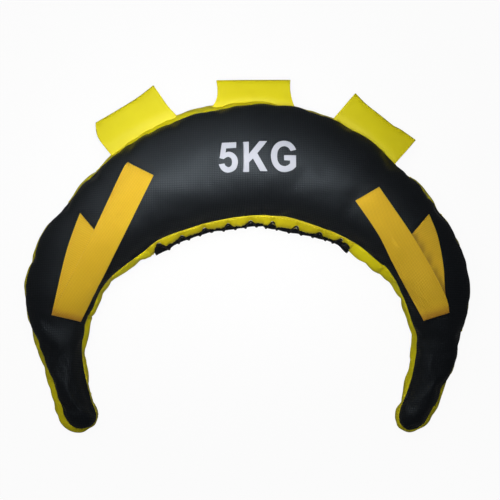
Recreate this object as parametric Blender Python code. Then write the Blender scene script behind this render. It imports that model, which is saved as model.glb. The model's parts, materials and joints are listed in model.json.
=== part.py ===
"""Horseshoe-shaped weight bag, lying on its back panel.

Two black panels are joined by a yellow gusset. The gusset opens along the inside of the
arch, where two flaps are laced together over a tongue. Two webbing grips lie on the front
panel, three folded loops stand out of the outer gusset, and the filling lies inside.
+X runs to the right of the front, +Y to the top of the arch, +Z out of the front panel.
"""

import math

import bmesh
import bpy
from mathutils import Vector
from mathutils.bvhtree import BVHTree

MM = 0.001

# The outline, seen from the front
BAG_WIDTH = 585 * MM
BAG_HEIGHT = 462 * MM
PANEL_WIDTH = 145 * MM
TIP_LENGTH = 28 * MM

# The depth, from the back panel's flat underside to the front panel's crown
CROWN_DEPTH = 105 * MM
TIP_DEPTH = 50 * MM
FRONT_SEAM_SHARE = 0.60
BACK_SEAM_SHARE = 0.15
CROWN_POWER_SHARE = 0.60
FLAT_SHARE = 0.78

# The skins and the gaps between them
WALL = 1.8 * MM
GAP = 0.3 * MM
OUTER_BULGE = 10 * MM
INNER_BULGE = 15 * MM
TIP_BULGE = 8 * MM
RIM_IN_SHARE = 0.9
RIM_UP_SHARE = 0.45

# The laced opening in the inner gusset
EYELET_COUNT = 9
EYELET_STEP = 16 * MM
EYELET_SIDES = 10
PLACKET_OVERRUN = 15 * MM
FLAP_SHARE = 0.40
EYELET_SHARE = 0.27
EYELET_PLACE_SHARE = 0.45
EYELET_BORE = 2.1 * MM
EYELET_BARREL = 2.6 * MM
EYELET_FLANGE = 4.2 * MM
EYELET_CURL = 3.5 * MM
EYELET_SEAT = 0.7 * MM
EYELET_RISE = 0.4 * MM
CURL_DROP = 0.5 * MM
LACE_RADIUS = 1.5 * MM
LACE_END = 11 * MM
TONGUE_WALL = 1.6 * MM
TONGUE_ROOM = 4 * MM
TONGUE_SHARES = (0.30, 0.48, 0.66, 0.84)

# The webbing grips
WEBBING = 1.8 * MM
LAY_GAP = 1.0 * MM
LAYER_GAP = 0.5 * MM
SLIT_SIDE = 1.2 * MM
SLIT_LONG = 7.8 * MM
TAB_LENGTH = 14 * MM
HINGE_STEP = 7 * MM
RAMP_LENGTH = 4 * MM

# The folded loops on the outer gusset
LOOP_LENGTH = 100 * MM
LOOP_REACH = 45 * MM
LOOP_WALL = 1.8 * MM
LOOP_OPENING = 12 * MM
LOOP_SEAM = 7 * MM
LOOP_SEAT = 1.4 * MM

# The filling
WADDING_SHARE = 0.11
FILL_WIDTH_SHARE = 0.74
FILL_CLEARANCE = 6.5 * MM

# How finely the skins are divided
RING_STEP = 27 * MM
TIP_RINGS = 4
WEBBING_STEP = 9 * MM
OVERRUN = 60 * MM

# Stations from the left tip to the right one: the middle of the front panel as shares of
# the bag's width and height, the panel's width, and how far the outer and the inner
# gusset bulge, each as a share of its own largest size.
STATION_SHARES = (
    (-0.378, -0.430, 0.30, 0.80, 0.22),
    (-0.407, -0.300, 0.32, 0.75, 0.25),
    (-0.419, -0.233, 0.41, 0.65, 0.28),
    (-0.427, -0.162, 0.52, 0.55, 0.30),
    (-0.417, -0.110, 0.63, 0.50, 0.30),
    (-0.401, -0.055, 0.69, 0.50, 0.30),
    (-0.380, 0.000, 0.74, 0.50, 0.30),
    (-0.344, 0.056, 0.78, 0.50, 0.36),
    (-0.289, 0.125, 0.84, 0.55, 0.60),
    (-0.193, 0.203, 0.91, 0.85, 0.95),
    (-0.051, 0.264, 0.98, 1.00, 1.00),
    (0.012, 0.275, 1.00, 0.90, 1.00),
    (0.077, 0.268, 0.98, 0.75, 1.00),
    (0.208, 0.213, 0.90, 0.50, 0.90),
    (0.271, 0.165, 0.82, 0.45, 0.75),
    (0.360, 0.064, 0.74, 0.40, 0.50),
    (0.392, 0.006, 0.67, 0.40, 0.35),
    (0.423, -0.090, 0.61, 0.45, 0.30),
    (0.429, -0.183, 0.49, 0.45, 0.32),
    (0.427, -0.251, 0.38, 0.45, 0.35),
    (0.415, -0.320, 0.33, 0.50, 0.35),
    (0.377, -0.438, 0.27, 0.75, 0.25),
)

# The grips' edges as shares of the bag's width and height, each from the slit in the
# front panel down to the fold: first the top leg's two edges, then the lower leg's.
GRIP_SHARES = {
    "left": (
        ((-0.266, 0.264), (-0.437, -0.164)),
        ((-0.208, 0.230), (-0.371, -0.183)),
        ((-0.373, 0.124), (-0.405, 0.008), (-0.437, -0.164)),
        ((-0.323, 0.047), (-0.340, -0.008), (-0.371, -0.183)),
    ),
    "right": (
        ((0.296, 0.198), (0.369, 0.062), (0.410, -0.025), (0.446, -0.117), (0.453, -0.158)),
        ((0.242, 0.159), (0.295, 0.062), (0.329, -0.025), (0.363, -0.106), (0.395, -0.180)),
        ((0.407, 0.122), (0.427, 0.057), (0.440, -0.025), (0.444, -0.101), (0.453, -0.158)),
        ((0.360, 0.049), (0.375, -0.034), (0.381, -0.113), (0.395, -0.180)),
    ),
}

# Each folded loop: the middle of its seam along the top leg of the outline, as shares of
# the bag's width and height, how far it leans from straight up in degrees, and its reach
# and length as shares of the longest ones.
LOOP_SHARES = {
    "left": (-0.238, 0.345, 33.0, 1.00, 0.91),
    "middle": (0.015, 0.430, 0.0, 0.73, 0.98),
    "right": (0.275, 0.325, -37.5, 0.87, 1.00),
}

BLACK = (0.030, 0.033, 0.040)
YELLOW = (0.80, 0.70, 0.05)
AMBER = (0.80, 0.50, 0.05)
NICKEL = (0.72, 0.72, 0.70)
WHITE = (0.82, 0.81, 0.77)
SAND = (0.55, 0.47, 0.34)

UP = Vector((0.0, 0.0, 1.0))


def clear_scene():
    for item in list(bpy.data.objects):
        bpy.data.objects.remove(item, do_unlink=True)


def finish(name, colour, roughness, metallic=0.0):
    """A plain Principled material."""
    made = bpy.data.materials.get(name)
    if made is None:
        made = bpy.data.materials.new(name)
        made.use_nodes = True
        shader = made.node_tree.nodes["Principled BSDF"]
        shader.inputs["Base Color"].default_value = (*colour, 1.0)
        shader.inputs["Roughness"].default_value = roughness
        shader.inputs["Metallic"].default_value = metallic
    return made


def add_object(name, verts, faces, material):
    """An object made of these faces, all turned outwards."""
    mesh = bpy.data.meshes.new(name)
    mesh.from_pydata([tuple(v) for v in verts], [], faces)
    shape = bmesh.new()
    shape.from_mesh(mesh)
    bmesh.ops.recalc_face_normals(shape, faces=shape.faces)
    shape.to_mesh(mesh)
    shape.free()
    mesh.shade_smooth()
    mesh.set_sharp_from_angle(angle=math.radians(40.0))
    mesh.materials.append(material)
    made = bpy.data.objects.new(name, mesh)
    bpy.context.scene.collection.objects.link(made)
    return made


def slab(name, outer, inner, material):
    """A closed solid between two grids of points that have the same rows and columns."""
    rows, cols = len(outer), len(outer[0])
    verts = [p for grid in (outer, inner) for row in grid for p in row]
    faces = []

    def at(layer, row, col):
        return (layer * rows + row) * cols + col

    for layer in (0, 1):
        for r in range(rows - 1):
            for c in range(cols - 1):
                near, far = at(layer, r, c), at(layer, r + 1, c + 1)
                faces += [(near, at(layer, r, c + 1), far), (near, far, at(layer, r + 1, c))]
    border = [(0, c) for c in range(cols)] + [(r, cols - 1) for r in range(1, rows)]
    border += [(rows - 1, c) for c in range(cols - 2, -1, -1)] + [(r, 0) for r in range(rows - 2, 0, -1)]
    for (r0, c0), (r1, c1) in zip(border, border[1:] + border[:1]):
        faces.append((at(0, r0, c0), at(0, r1, c1), at(1, r1, c1), at(1, r0, c0)))
    return add_object(name, verts, faces, material)


def between(values, t):
    """A smooth curve through rows of numbers, read at t rows from the first."""
    last = len(values) - 1
    i = min(max(int(math.floor(t)), 0), last - 1)
    f = t - i
    a, b = values[max(i - 1, 0)], values[i]
    c, d = values[i + 1], values[min(i + 2, last)]
    out = []
    for p0, p1, p2, p3 in zip(a, b, c, d):
        slope_1, slope_2 = (p2 - p0) / 2, (p3 - p1) / 2
        out.append(
            p1 * (2 * f**3 - 3 * f**2 + 1)
            + slope_1 * (f**3 - 2 * f**2 + f)
            + p2 * (3 * f**2 - 2 * f**3)
            + slope_2 * (f**3 - f**2)
        )
    return out


def trace_spine():
    """The middle line of the bag, with its width, bulges and running length."""
    fine = 12
    rows = []
    run = 0.0
    for k in range((len(STATION_SHARES) - 1) * fine + 1):
        x, y, width, outer, inner = between(STATION_SHARES, k / fine)
        spot = Vector((x * BAG_WIDTH, y * BAG_HEIGHT, 0.0))
        if rows:
            run += (spot - rows[-1][1]).length
        rows.append((run, spot, width, outer, inner))
    return rows


class Ring:
    """A cut across the bag: its middle, its half width, its seams and its depth."""

    def __init__(self, spine, run, shrink=1.0, past=0.0):
        last = len(spine) - 1
        i = 0
        while i < last - 1 and spine[i + 1][0] < run:
            i += 1
        f = min(max((run - spine[i][0]) / (spine[i + 1][0] - spine[i][0]), 0.0), 1.0)
        low, high = spine[i], spine[i + 1]
        before, after = spine[max(i - 2, 0)][1], spine[min(i + 3, last)][1]
        along = (after - before).normalized()
        self.along = along
        self.side = Vector((-along.y, along.x, 0.0))
        self.middle = low[1].lerp(high[1], f) + along * past
        share = low[2] + (high[2] - low[2]) * f
        tip_share = min(STATION_SHARES[0][2], STATION_SHARES[-1][2])
        fat = (share - tip_share) / (1.0 - tip_share)
        depth = TIP_DEPTH + (CROWN_DEPTH - TIP_DEPTH) * fat
        self.half = PANEL_WIDTH * share / 2 * shrink
        self.front_seam = depth * FRONT_SEAM_SHARE
        self.back_seam = depth * BACK_SEAM_SHARE
        self.crown = (depth - self.front_seam) * shrink**0.8
        self.depth = self.front_seam + self.crown
        outer = (low[3] + (high[3] - low[3]) * f) * OUTER_BULGE
        inner = (low[4] + (high[4] - low[4]) * f) * INNER_BULGE
        self.outer_bulge = TIP_BULGE + (outer - TIP_BULGE) * shrink
        self.inner_bulge = TIP_BULGE + (inner - TIP_BULGE) * shrink
        self.run = run + past

    def plan(self, across):
        """The point that lies this share of the half width to the outer side."""
        return self.middle + self.side * (self.half * across)

    def top(self, across):
        """The height of the front panel's outer face."""
        return self.front_seam + self.crown * (1.0 - across * across) ** CROWN_POWER_SHARE

    def bottom(self, across):
        """The height of the back panel's outer face, flat but for its edges."""
        lift = max(abs(across) - FLAT_SHARE, 0.0) / (1.0 - FLAT_SHARE)
        return self.back_seam * lift * lift


def make_rings(spine):
    """Cuts all along the bag, closing in a rounded tip at both ends."""
    length = spine[-1][0]
    count = round(length / RING_STEP)
    rings = [Ring(spine, length * k / count) for k in range(count + 1)]
    head, tail = [], []
    for k in range(1, TIP_RINGS + 1):
        turn = math.radians(81.0) * k / TIP_RINGS
        past = TIP_LENGTH * math.sin(turn)
        head.insert(0, Ring(spine, 0.0, math.cos(turn), -past))
        tail.append(Ring(spine, length, math.cos(turn), past))
    return head + rings + tail


class Edge:
    """A point of the panels' outline, with its outward direction, seams and bulge."""

    def __init__(self, ring, across):
        self.spot = ring.plan(across)
        self.front_seam = ring.front_seam
        self.back_seam = ring.back_seam
        self.bulge = ring.outer_bulge if across > 0 else ring.inner_bulge
        self.run = ring.run
        self.out = None

    def skin(self, share, inset=0.0):
        """A point of the gusset: share runs from the front seam to the back seam."""
        height = self.front_seam + (self.back_seam - self.front_seam) * share
        reach = self.bulge * math.sin(math.pi * share)
        return self.spot + self.out * (reach - inset) + UP * height

    def lean(self, share):
        """The gusset's outward direction at this share of its height."""
        tall = self.front_seam - self.back_seam
        slope = self.bulge * math.pi * math.cos(math.pi * share) / tall
        return (self.out + UP * slope).normalized()


def make_outline(rings):
    """The closed outline: up the outer side, round the right tip and back inside."""
    edges = [Edge(ring, 1.0) for ring in rings] + [Edge(ring, -1.0) for ring in reversed(rings)]
    for i, edge in enumerate(edges):
        ahead = edges[(i + 1) % len(edges)].spot - edges[i - 1].spot
        edge.out = Vector((-ahead.y, ahead.x, 0.0)).normalized()
    return edges


def edge_between(low, high, f):
    """The outline a part of the way between two of its points."""
    made = object.__new__(Edge)
    made.spot = low.spot.lerp(high.spot, f)
    made.out = low.out.lerp(high.out, f).normalized()
    for name in ("front_seam", "back_seam", "bulge", "run"):
        setattr(made, name, getattr(low, name) + (getattr(high, name) - getattr(low, name)) * f)
    return made


def rim(out, rise):
    """How the cut edge of a skin runs inwards at a seam."""
    return out * (-WALL * RIM_IN_SHARE) + UP * (rise * WALL * RIM_UP_SHARE)


def inward(grid, outside):
    """The same grid moved in by the wall, along the surface's own direction."""
    made = []
    rows, cols = len(grid), len(grid[0])
    for r in range(rows):
        line = []
        for c in range(cols):
            along = grid[min(r + 1, rows - 1)][c] - grid[max(r - 1, 0)][c]
            over = grid[r][min(c + 1, cols - 1)] - grid[r][max(c - 1, 0)]
            facing = along.cross(over).normalized()
            if facing.dot(outside(r, c)) < 0:
                facing = -facing
            line.append(grid[r][c] - facing * WALL)
        made.append(line)
    return made


def front_panel(rings, edges):
    """The crowned black panel that shows, without its slits."""
    shares = [math.sin(math.pi / 2 * k / 5) for k in range(-5, 6)]
    outer = [[ring.plan(a) + UP * (ring.top(a) + GAP / 2) for a in shares] for ring in rings]
    inner = inward(outer, lambda r, c: UP)
    last = len(rings) - 1
    for r in range(len(rings)):
        inner[r][-1] = outer[r][-1] + rim(edges[r].out, -1)
        inner[r][0] = outer[r][0] + rim(edges[-1 - r].out, -1)
    for r, side in ((0, -1), (last, 1)):
        for c in range(1, len(shares) - 1):
            inner[r][c] = outer[r][c] + rim(rings[r].along * side, -1)
    return slab("front_panel", outer, inner, finish("black_leatherette", BLACK, 0.5))


def back_panel(rings, edges):
    """The black panel that the bag lies on."""
    bend = (1.0 + FLAT_SHARE) / 2
    shares = (-1.0, -bend, -FLAT_SHARE, 0.0, FLAT_SHARE, bend, 1.0)
    outer = [[ring.plan(a) + UP * ring.bottom(a) for a in shares] for ring in rings]
    for row in outer:
        row[0] -= UP * (GAP / 2)
        row[-1] -= UP * (GAP / 2)
    inner = [[p + UP * WALL for p in row] for row in outer]
    last = len(rings) - 1
    for r in range(len(rings)):
        inner[r][-1] = outer[r][-1] + rim(edges[r].out, 1)
        inner[r][0] = outer[r][0] + rim(edges[-1 - r].out, 1)
    for r, side in ((0, -1), (last, 1)):
        for c in range(1, len(shares) - 1):
            inner[r][c] = outer[r][c] + rim(rings[r].along * side, 1)
    return slab("back_panel", outer, inner, finish("black_leatherette", BLACK, 0.5))


def gusset_strip(name, edges, shares, material):
    """A skin that follows the outline between two shares of the gusset's height."""
    outer = [[edge.skin(share) for share in shares] for edge in edges]
    inner = [
        [p - edge.lean(share) * WALL for p, share in zip(row, shares)]
        for row, edge in zip(outer, edges)
    ]
    for r, edge in enumerate(edges):
        if shares[0] == 0.0:
            outer[r][0] -= UP * (GAP / 2)
            inner[r][0] = outer[r][0] + rim(edge.out, -1)
        if shares[-1] == 1.0:
            outer[r][-1] += UP * (GAP / 2)
            inner[r][-1] = outer[r][-1] + rim(edge.out, 1)
    return slab(name, outer, inner, material)


def inner_side(edges, rings):
    """The outline's inner half, from the left tip to the right one."""
    return list(reversed(edges[len(rings) :]))


def edge_at(side, run):
    """The outline at this running length along one side."""
    i = 0
    while i < len(side) - 2 and side[i + 1].run < run:
        i += 1
    f = (run - side[i].run) / (side[i + 1].run - side[i].run)
    return edge_between(side[i], side[i + 1], f)


def placket_middle(rings):
    """Where the lacing's middle lies along the bag."""
    centre = rings[TIP_RINGS].run
    for low, high in zip(rings, rings[1:]):
        if low.middle.x <= 0.0 < high.middle.x and low.middle.y > 0:
            f = low.middle.x / (low.middle.x - high.middle.x)
            centre = low.run + (high.run - low.run) * f
    return centre


def step_along(side, start, distance):
    """The running length that lies this far along the outline from start."""
    run = start
    left = abs(distance)
    sign = 1.0 if distance > 0 else -1.0
    step = RING_STEP / 20
    here = edge_at(side, run).spot
    while left > 0.0:
        there = edge_at(side, run + sign * step).spot
        gone = (there - here).length
        if gone >= left:
            return run + sign * step * left / gone
        left -= gone
        run += sign * step
        here = there
    return run


def eyelet_ring(name, seat):
    """A turned metal eyelet, clenched through a flap."""
    floor = -WALL - GAP
    profile = (
        (EYELET_BORE, EYELET_SEAT + EYELET_RISE),
        (EYELET_FLANGE, EYELET_SEAT),
        (EYELET_BARREL, EYELET_SEAT),
        (EYELET_BARREL, floor),
        (EYELET_CURL, floor),
        (EYELET_BORE, floor - CURL_DROP),
    )
    verts = []
    for k in range(EYELET_SIDES):
        turn = 2 * math.pi * k / EYELET_SIDES
        spoke = seat.along * math.cos(turn) + seat.towards_lip * math.sin(turn)
        verts += [seat.centre + spoke * r + seat.facing * h for r, h in profile]
    faces = []
    n = len(profile)
    for k in range(EYELET_SIDES):
        here, there = k * n, (k + 1) % EYELET_SIDES * n
        for j in range(n):
            faces.append((here + j, here + (j + 1) % n, there + (j + 1) % n, there + j))
    return add_object(name, verts, faces, finish("nickel", NICKEL, 0.25, 1.0))


def hole_cutter(seat):
    """The hole that a flap has for an eyelet."""
    verts = []
    for reach in (-2 * WALL - CURL_DROP, 2 * WALL):
        for k in range(EYELET_SIDES):
            turn = 2 * math.pi * k / EYELET_SIDES
            spoke = seat.along * math.cos(turn) + seat.towards_lip * math.sin(turn)
            verts.append(seat.centre + spoke * (EYELET_BARREL + GAP) + seat.facing * reach)
    faces = [tuple(range(EYELET_SIDES)), tuple(range(EYELET_SIDES, 2 * EYELET_SIDES))]
    for k in range(EYELET_SIDES):
        j = (k + 1) % EYELET_SIDES
        faces.append((k, j, EYELET_SIDES + j, EYELET_SIDES + k))
    return verts, faces


def cut(target, name, solids):
    """Cuts the closed solids, which don't touch each other, out of the target."""
    verts, faces = [], []
    for points, sides in solids:
        start = len(verts)
        verts += points
        faces += [tuple(start + i for i in face) for face in sides]
    cutter = add_object(name, verts, faces, finish("cutter", WHITE, 0.5))
    cutter.hide_render = True
    cutter.display_type = "WIRE"
    change = target.modifiers.new(name, "BOOLEAN")
    change.operation = "DIFFERENCE"
    change.solver = "EXACT"
    change.object = cutter


def lacing(side, centre):
    """The flaps, the tongue, the eyelets and the lace of the opening."""
    spans = 2 * EYELET_COUNT - 1
    half = spans / 2 * EYELET_STEP
    start = step_along(side, centre, EYELET_STEP / 2 - half - PLACKET_OVERRUN)
    end = step_along(side, centre, half - EYELET_STEP / 2 + PLACKET_OVERRUN)
    runs = [step_along(side, centre, EYELET_STEP * k - half) for k in range(spans + 1)]
    strip = [edge_at(side, run) for run in [start] + runs + [end]]
    yellow = finish("yellow_leatherette", YELLOW, 0.45)

    low = (0.0, EYELET_SHARE / 2, FLAP_SHARE)
    high = tuple(1.0 - share for share in reversed(low))
    front = gusset_strip("placket_front_flap", strip, low, yellow)
    back = gusset_strip("placket_back_flap", strip, high, yellow)

    tongue(strip)
    front_holes, back_holes, seats = [], [], []
    for k in range(spans):
        ends = strip[k + 1 : k + 3]
        if k % 2 == 0:
            seat = FlapSeat(*ends, EYELET_SHARE / 2, FLAP_SHARE)
            eyelet_ring(f"eyelet_front_{k // 2 + 1}", seat)
            front_holes.append(hole_cutter(seat))
        else:
            seat = FlapSeat(*ends, 1 - EYELET_SHARE / 2, 1 - FLAP_SHARE)
            eyelet_ring(f"eyelet_back_{k // 2 + 1}", seat)
            back_holes.append(hole_cutter(seat))
        seats.append(seat)
    cut(front, "front_flap_holes", front_holes)
    cut(back, "back_flap_holes", back_holes)
    lace(seats)
    return start, end


def tongue(strip):
    """The tongue behind the lace, sewn under the front flap's fold and free at its other edge."""
    fold = EYELET_SHARE / 2
    depth = WALL + CURL_DROP + 2 * LACE_RADIUS + TONGUE_ROOM
    layers = []
    for wall in (0.0, TONGUE_WALL):
        seams = [e.skin(fold) - e.lean(fold) * (WALL + GAP + wall) for e in strip]
        rows = [[e.skin(share, depth + wall) for share in TONGUE_SHARES] for e in strip]
        layers.append([[seam] + row for seam, row in zip(seams, rows)])
    slab("lacing_tongue", *layers, finish("black_leatherette", BLACK, 0.5))


class FlapSeat:
    """The flat stretch of a flap that an eyelet sits on, between a fold and the flap's edge."""

    def __init__(self, low, high, fold, lip):
        start = (low.skin(fold) + high.skin(fold)) / 2
        self.lip = (low.skin(lip) + high.skin(lip)) / 2
        self.along = (high.skin((fold + lip) / 2) - low.skin((fold + lip) / 2)).normalized()
        rise = self.lip - start
        self.towards_lip = (rise - self.along * rise.dot(self.along)).normalized()
        facing = self.towards_lip.cross(self.along)
        self.facing = facing if facing.dot(low.out) > 0 else -facing
        self.centre = start.lerp(self.lip, EYELET_PLACE_SHARE)


def lace(seats):
    """One cord that leaves each eyelet outwards and dives under the other flap."""
    over = EYELET_SEAT + EYELET_RISE + LACE_RADIUS + GAP
    under = WALL + CURL_DROP + LACE_RADIUS + 3 * GAP
    points = []
    for seat, ahead in zip(seats, seats[1:] + [None]):
        points += [seat.centre - seat.facing * under, seat.centre + seat.facing * over]
        if ahead is None:
            break
        across = ahead.centre - seat.centre
        part = (seat.lip - seat.centre).dot(seat.towards_lip) / across.length
        leaving = seat.lip + seat.along * across.dot(seat.along) * part
        arriving = ahead.lip - ahead.along * across.dot(ahead.along) * part
        middle = (leaving + arriving) / 2
        points.append(leaving + seat.facing * (2 * LACE_RADIUS + GAP))
        points.append(middle - (seat.facing + ahead.facing).normalized() * LACE_RADIUS)
        points.append(arriving - ahead.facing * (under + GAP))
    first, last = seats[0], seats[-1]
    points.insert(0, points[0] - first.along * LACE_END)
    points.append(points[-1] + last.along * LACE_END)
    tube("lace", points, LACE_RADIUS, finish("black_cord", BLACK, 0.7))


def tube(name, points, radius, material):
    """A round cord through these points, closed at both ends."""
    curve = bpy.data.curves.new(name, "CURVE")
    curve.dimensions = "3D"
    curve.bevel_depth = radius
    curve.bevel_resolution = 1
    curve.use_fill_caps = True
    line = curve.splines.new("POLY")
    line.points.add(len(points) - 1)
    for point, spot in zip(line.points, points):
        point.co = (*spot, 1.0)
    curve.materials.append(material)
    made = bpy.data.objects.new(name, curve)
    bpy.context.scene.collection.objects.link(made)
    return made


def on_line(line, direction, level):
    """The point of a line whose place along direction is level."""
    for low, high in zip(line, line[1:]):
        a, b = low.dot(direction), high.dot(direction)
        if min(a, b) <= level <= max(a, b):
            return low.lerp(high, (level - a) / (b - a))
    return line[0] if abs(line[0].dot(direction) - level) < abs(line[-1].dot(direction) - level) else line[-1]


class Surface:
    """The front panel's outer face, to lay webbing on."""

    def __init__(self, item):
        mesh = item.data
        mesh.calc_loop_triangles()
        self.tree = BVHTree.FromPolygons(
            [v.co.copy() for v in mesh.vertices], [t.vertices[:] for t in mesh.loop_triangles]
        )

    def above(self, spot, rise):
        """The point this far off the panel, over a place in the plan."""
        hit, facing, _, _ = self.tree.ray_cast(Vector((spot.x, spot.y, 2 * CROWN_DEPTH)), -UP)
        if hit is None:
            hit, facing, _, _ = self.tree.find_nearest(spot + UP * TIP_DEPTH)
        return Vector((spot.x, spot.y, hit.z + rise / max(facing.z, 0.3)))


def webbing_row(surface, a, b, rise):
    """The two faces of a row of webbing between the edge points a and b."""
    low = [surface.above(a.lerp(b, k / 4), rise) for k in range(5)]
    high = [surface.above(a.lerp(b, k / 4), rise + WEBBING) for k in range(5)]
    return low, high


def buried_end(a, b, towards):
    """Rows from just before the slit to the end of the tab inside, each with its rise."""
    inside = -WALL - LAY_GAP - WEBBING
    steps = ((RAMP_LENGTH, LAY_GAP), (-RAMP_LENGTH, inside), (-TAB_LENGTH, inside))
    return [(a + towards * step, b + towards * step, rise) for step, rise in steps]


def slit_cutter(surface, a, b):
    """A slot across the panel, wider than the webbing and open at both faces."""
    across = (b - a).normalized()
    along = Vector((-across.y, across.x, 0.0))
    ends = (a - across * SLIT_SIDE, b + across * SLIT_SIDE)
    verts = []
    for level in (-1, 1):
        for end, way in ((0, -1), (0, 1), (1, 1), (1, -1)):
            spot = ends[end] + along * (SLIT_LONG / 2 * way)
            height = surface.above(ends[0].lerp(ends[1], 0.5), 0.0).z + level * OVERRUN / 3
            verts.append(Vector((spot.x, spot.y, height)))
    faces = [(0, 1, 2, 3), (4, 5, 6, 7), (0, 1, 5, 4), (1, 2, 6, 5), (2, 3, 7, 6), (3, 0, 4, 7)]
    return verts, faces


def grip(name, surface, shares):
    """One webbing grip: its sewn legs and the loop that lifts off the panel."""
    top_a, top_b, low_a, low_b = [
        [Vector((x * BAG_WIDTH, y * BAG_HEIGHT, 0.0)) for x, y in line] for line in shares
    ]
    amber = finish("webbing", AMBER, 0.6)
    fold = (top_a[-1] + top_b[-1]) / 2
    up_top = ((top_a[0] + top_b[0]) / 2 - fold).normalized()
    up_low = ((low_a[0] + low_b[0]) / 2 - fold).normalized()
    down = -(up_top + up_low).normalized()
    hinge = max(low_a[0].dot(down), low_b[0].dot(down)) + HINGE_STEP
    second = LAY_GAP + WEBBING + LAYER_GAP

    def rows(line_a, line_b, start, stop, rise):
        count = max(2, math.ceil(abs(stop - start) / WEBBING_STEP))
        made = []
        for k in range(count + 1):
            level = start + (stop - start) * k / count
            a, b = on_line(line_a, down, level), on_line(line_b, down, level)
            made.append((a, b, rise(level)))
        return made

    def square(a, b):
        across = (b - a).normalized()
        turned = Vector((-across.y, across.x, 0.0))
        return turned if turned.dot(down) > 0 else -turned

    top_start = max(top_a[0].dot(down), top_b[0].dot(down)) + RAMP_LENGTH * 2
    clear_low = min(low_a[0].dot(down), low_b[0].dot(down)) - TAB_LENGTH

    def top_rise(level):
        part = (level - top_start) / (clear_low - top_start)
        part = min(max(part, 0.0), 1.0)
        return LAY_GAP + (second - LAY_GAP) * part * part * (3 - 2 * part)

    upper = list(reversed(buried_end(top_a[0], top_b[0], square(top_a[0], top_b[0]))))
    upper += rows(top_a, top_b, top_start, hinge - GAP / 2, top_rise)
    sheet(f"grip_{name}_upper_leg", [webbing_row(surface, *row) for row in upper], amber)

    tab = list(reversed(buried_end(low_a[0], low_b[0], square(low_a[0], low_b[0]))))
    tab.append((on_line(low_a, down, hinge - GAP / 2), on_line(low_b, down, hinge - GAP / 2), LAY_GAP))
    tab = thickened(tab)
    sheet(f"grip_{name}_lower_leg", [webbing_row(surface, *row) for row in tab], amber)

    end = min(top_a[-1].dot(down), top_b[-1].dot(down))
    out_rows = rows(top_a, top_b, hinge + GAP / 2, end, lambda level: second)
    back_rows = rows(low_a, low_b, hinge + GAP / 2, end, lambda level: LAY_GAP)
    faces = [webbing_row(surface, *row) for row in out_rows]
    turn_low = [surface.above(p, LAY_GAP + WEBBING + LAYER_GAP / 2) for p in faces[-1][0]]
    turn_high = [p + down * (WEBBING * 1.5) for p in turn_low]
    faces.append((turn_low, turn_high))
    faces += [pair[::-1] for pair in (webbing_row(surface, *row) for row in reversed(back_rows))]
    loop = sheet(f"grip_{name}_loop", faces, amber)

    a, b = on_line(top_a, down, hinge), on_line(top_b, down, hinge)
    high = [surface.above(a.lerp(b, k / 4), second + WEBBING) for k in range(5)]
    axis = (high[-1] - high[0]).normalized()
    if axis.cross(down).z < 0:
        axis = -axis
    lift = max((p - high[0]).cross(axis).length for p in high)
    centre = (high[0] + high[-1]) / 2 + UP * lift
    pivot = bpy.data.objects.new(f"grip_{name}_pivot", None)
    pivot.location = centre
    bpy.context.scene.collection.objects.link(pivot)
    loop.parent = pivot
    loop.matrix_parent_inverse.translation = -centre
    print(name, "grip hinge at", [round(v, 5) for v in centre], "axis", [round(v, 4) for v in axis])
    return [slit_cutter(surface, top_a[0], top_b[0]), slit_cutter(surface, low_a[0], low_b[0])]


def thickened(rows):
    """The same rows with more of them between the last two."""
    (a0, b0, r0), (a1, b1, r1) = rows[-2:]
    count = max(2, math.ceil(max((a1 - a0).length, (b1 - b0).length) / WEBBING_STEP))
    extra = []
    for k in range(1, count):
        f = k / count
        extra.append((a0.lerp(a1, f), b0.lerp(b1, f), r0 + (r1 - r0) * f))
    return rows[:-1] + extra + rows[-1:]


def sheet(name, rows, material):
    """A closed strip from rows of lower and upper points."""
    return slab(name, [high for low, high in rows], [low for low, high in rows], material)


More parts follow.
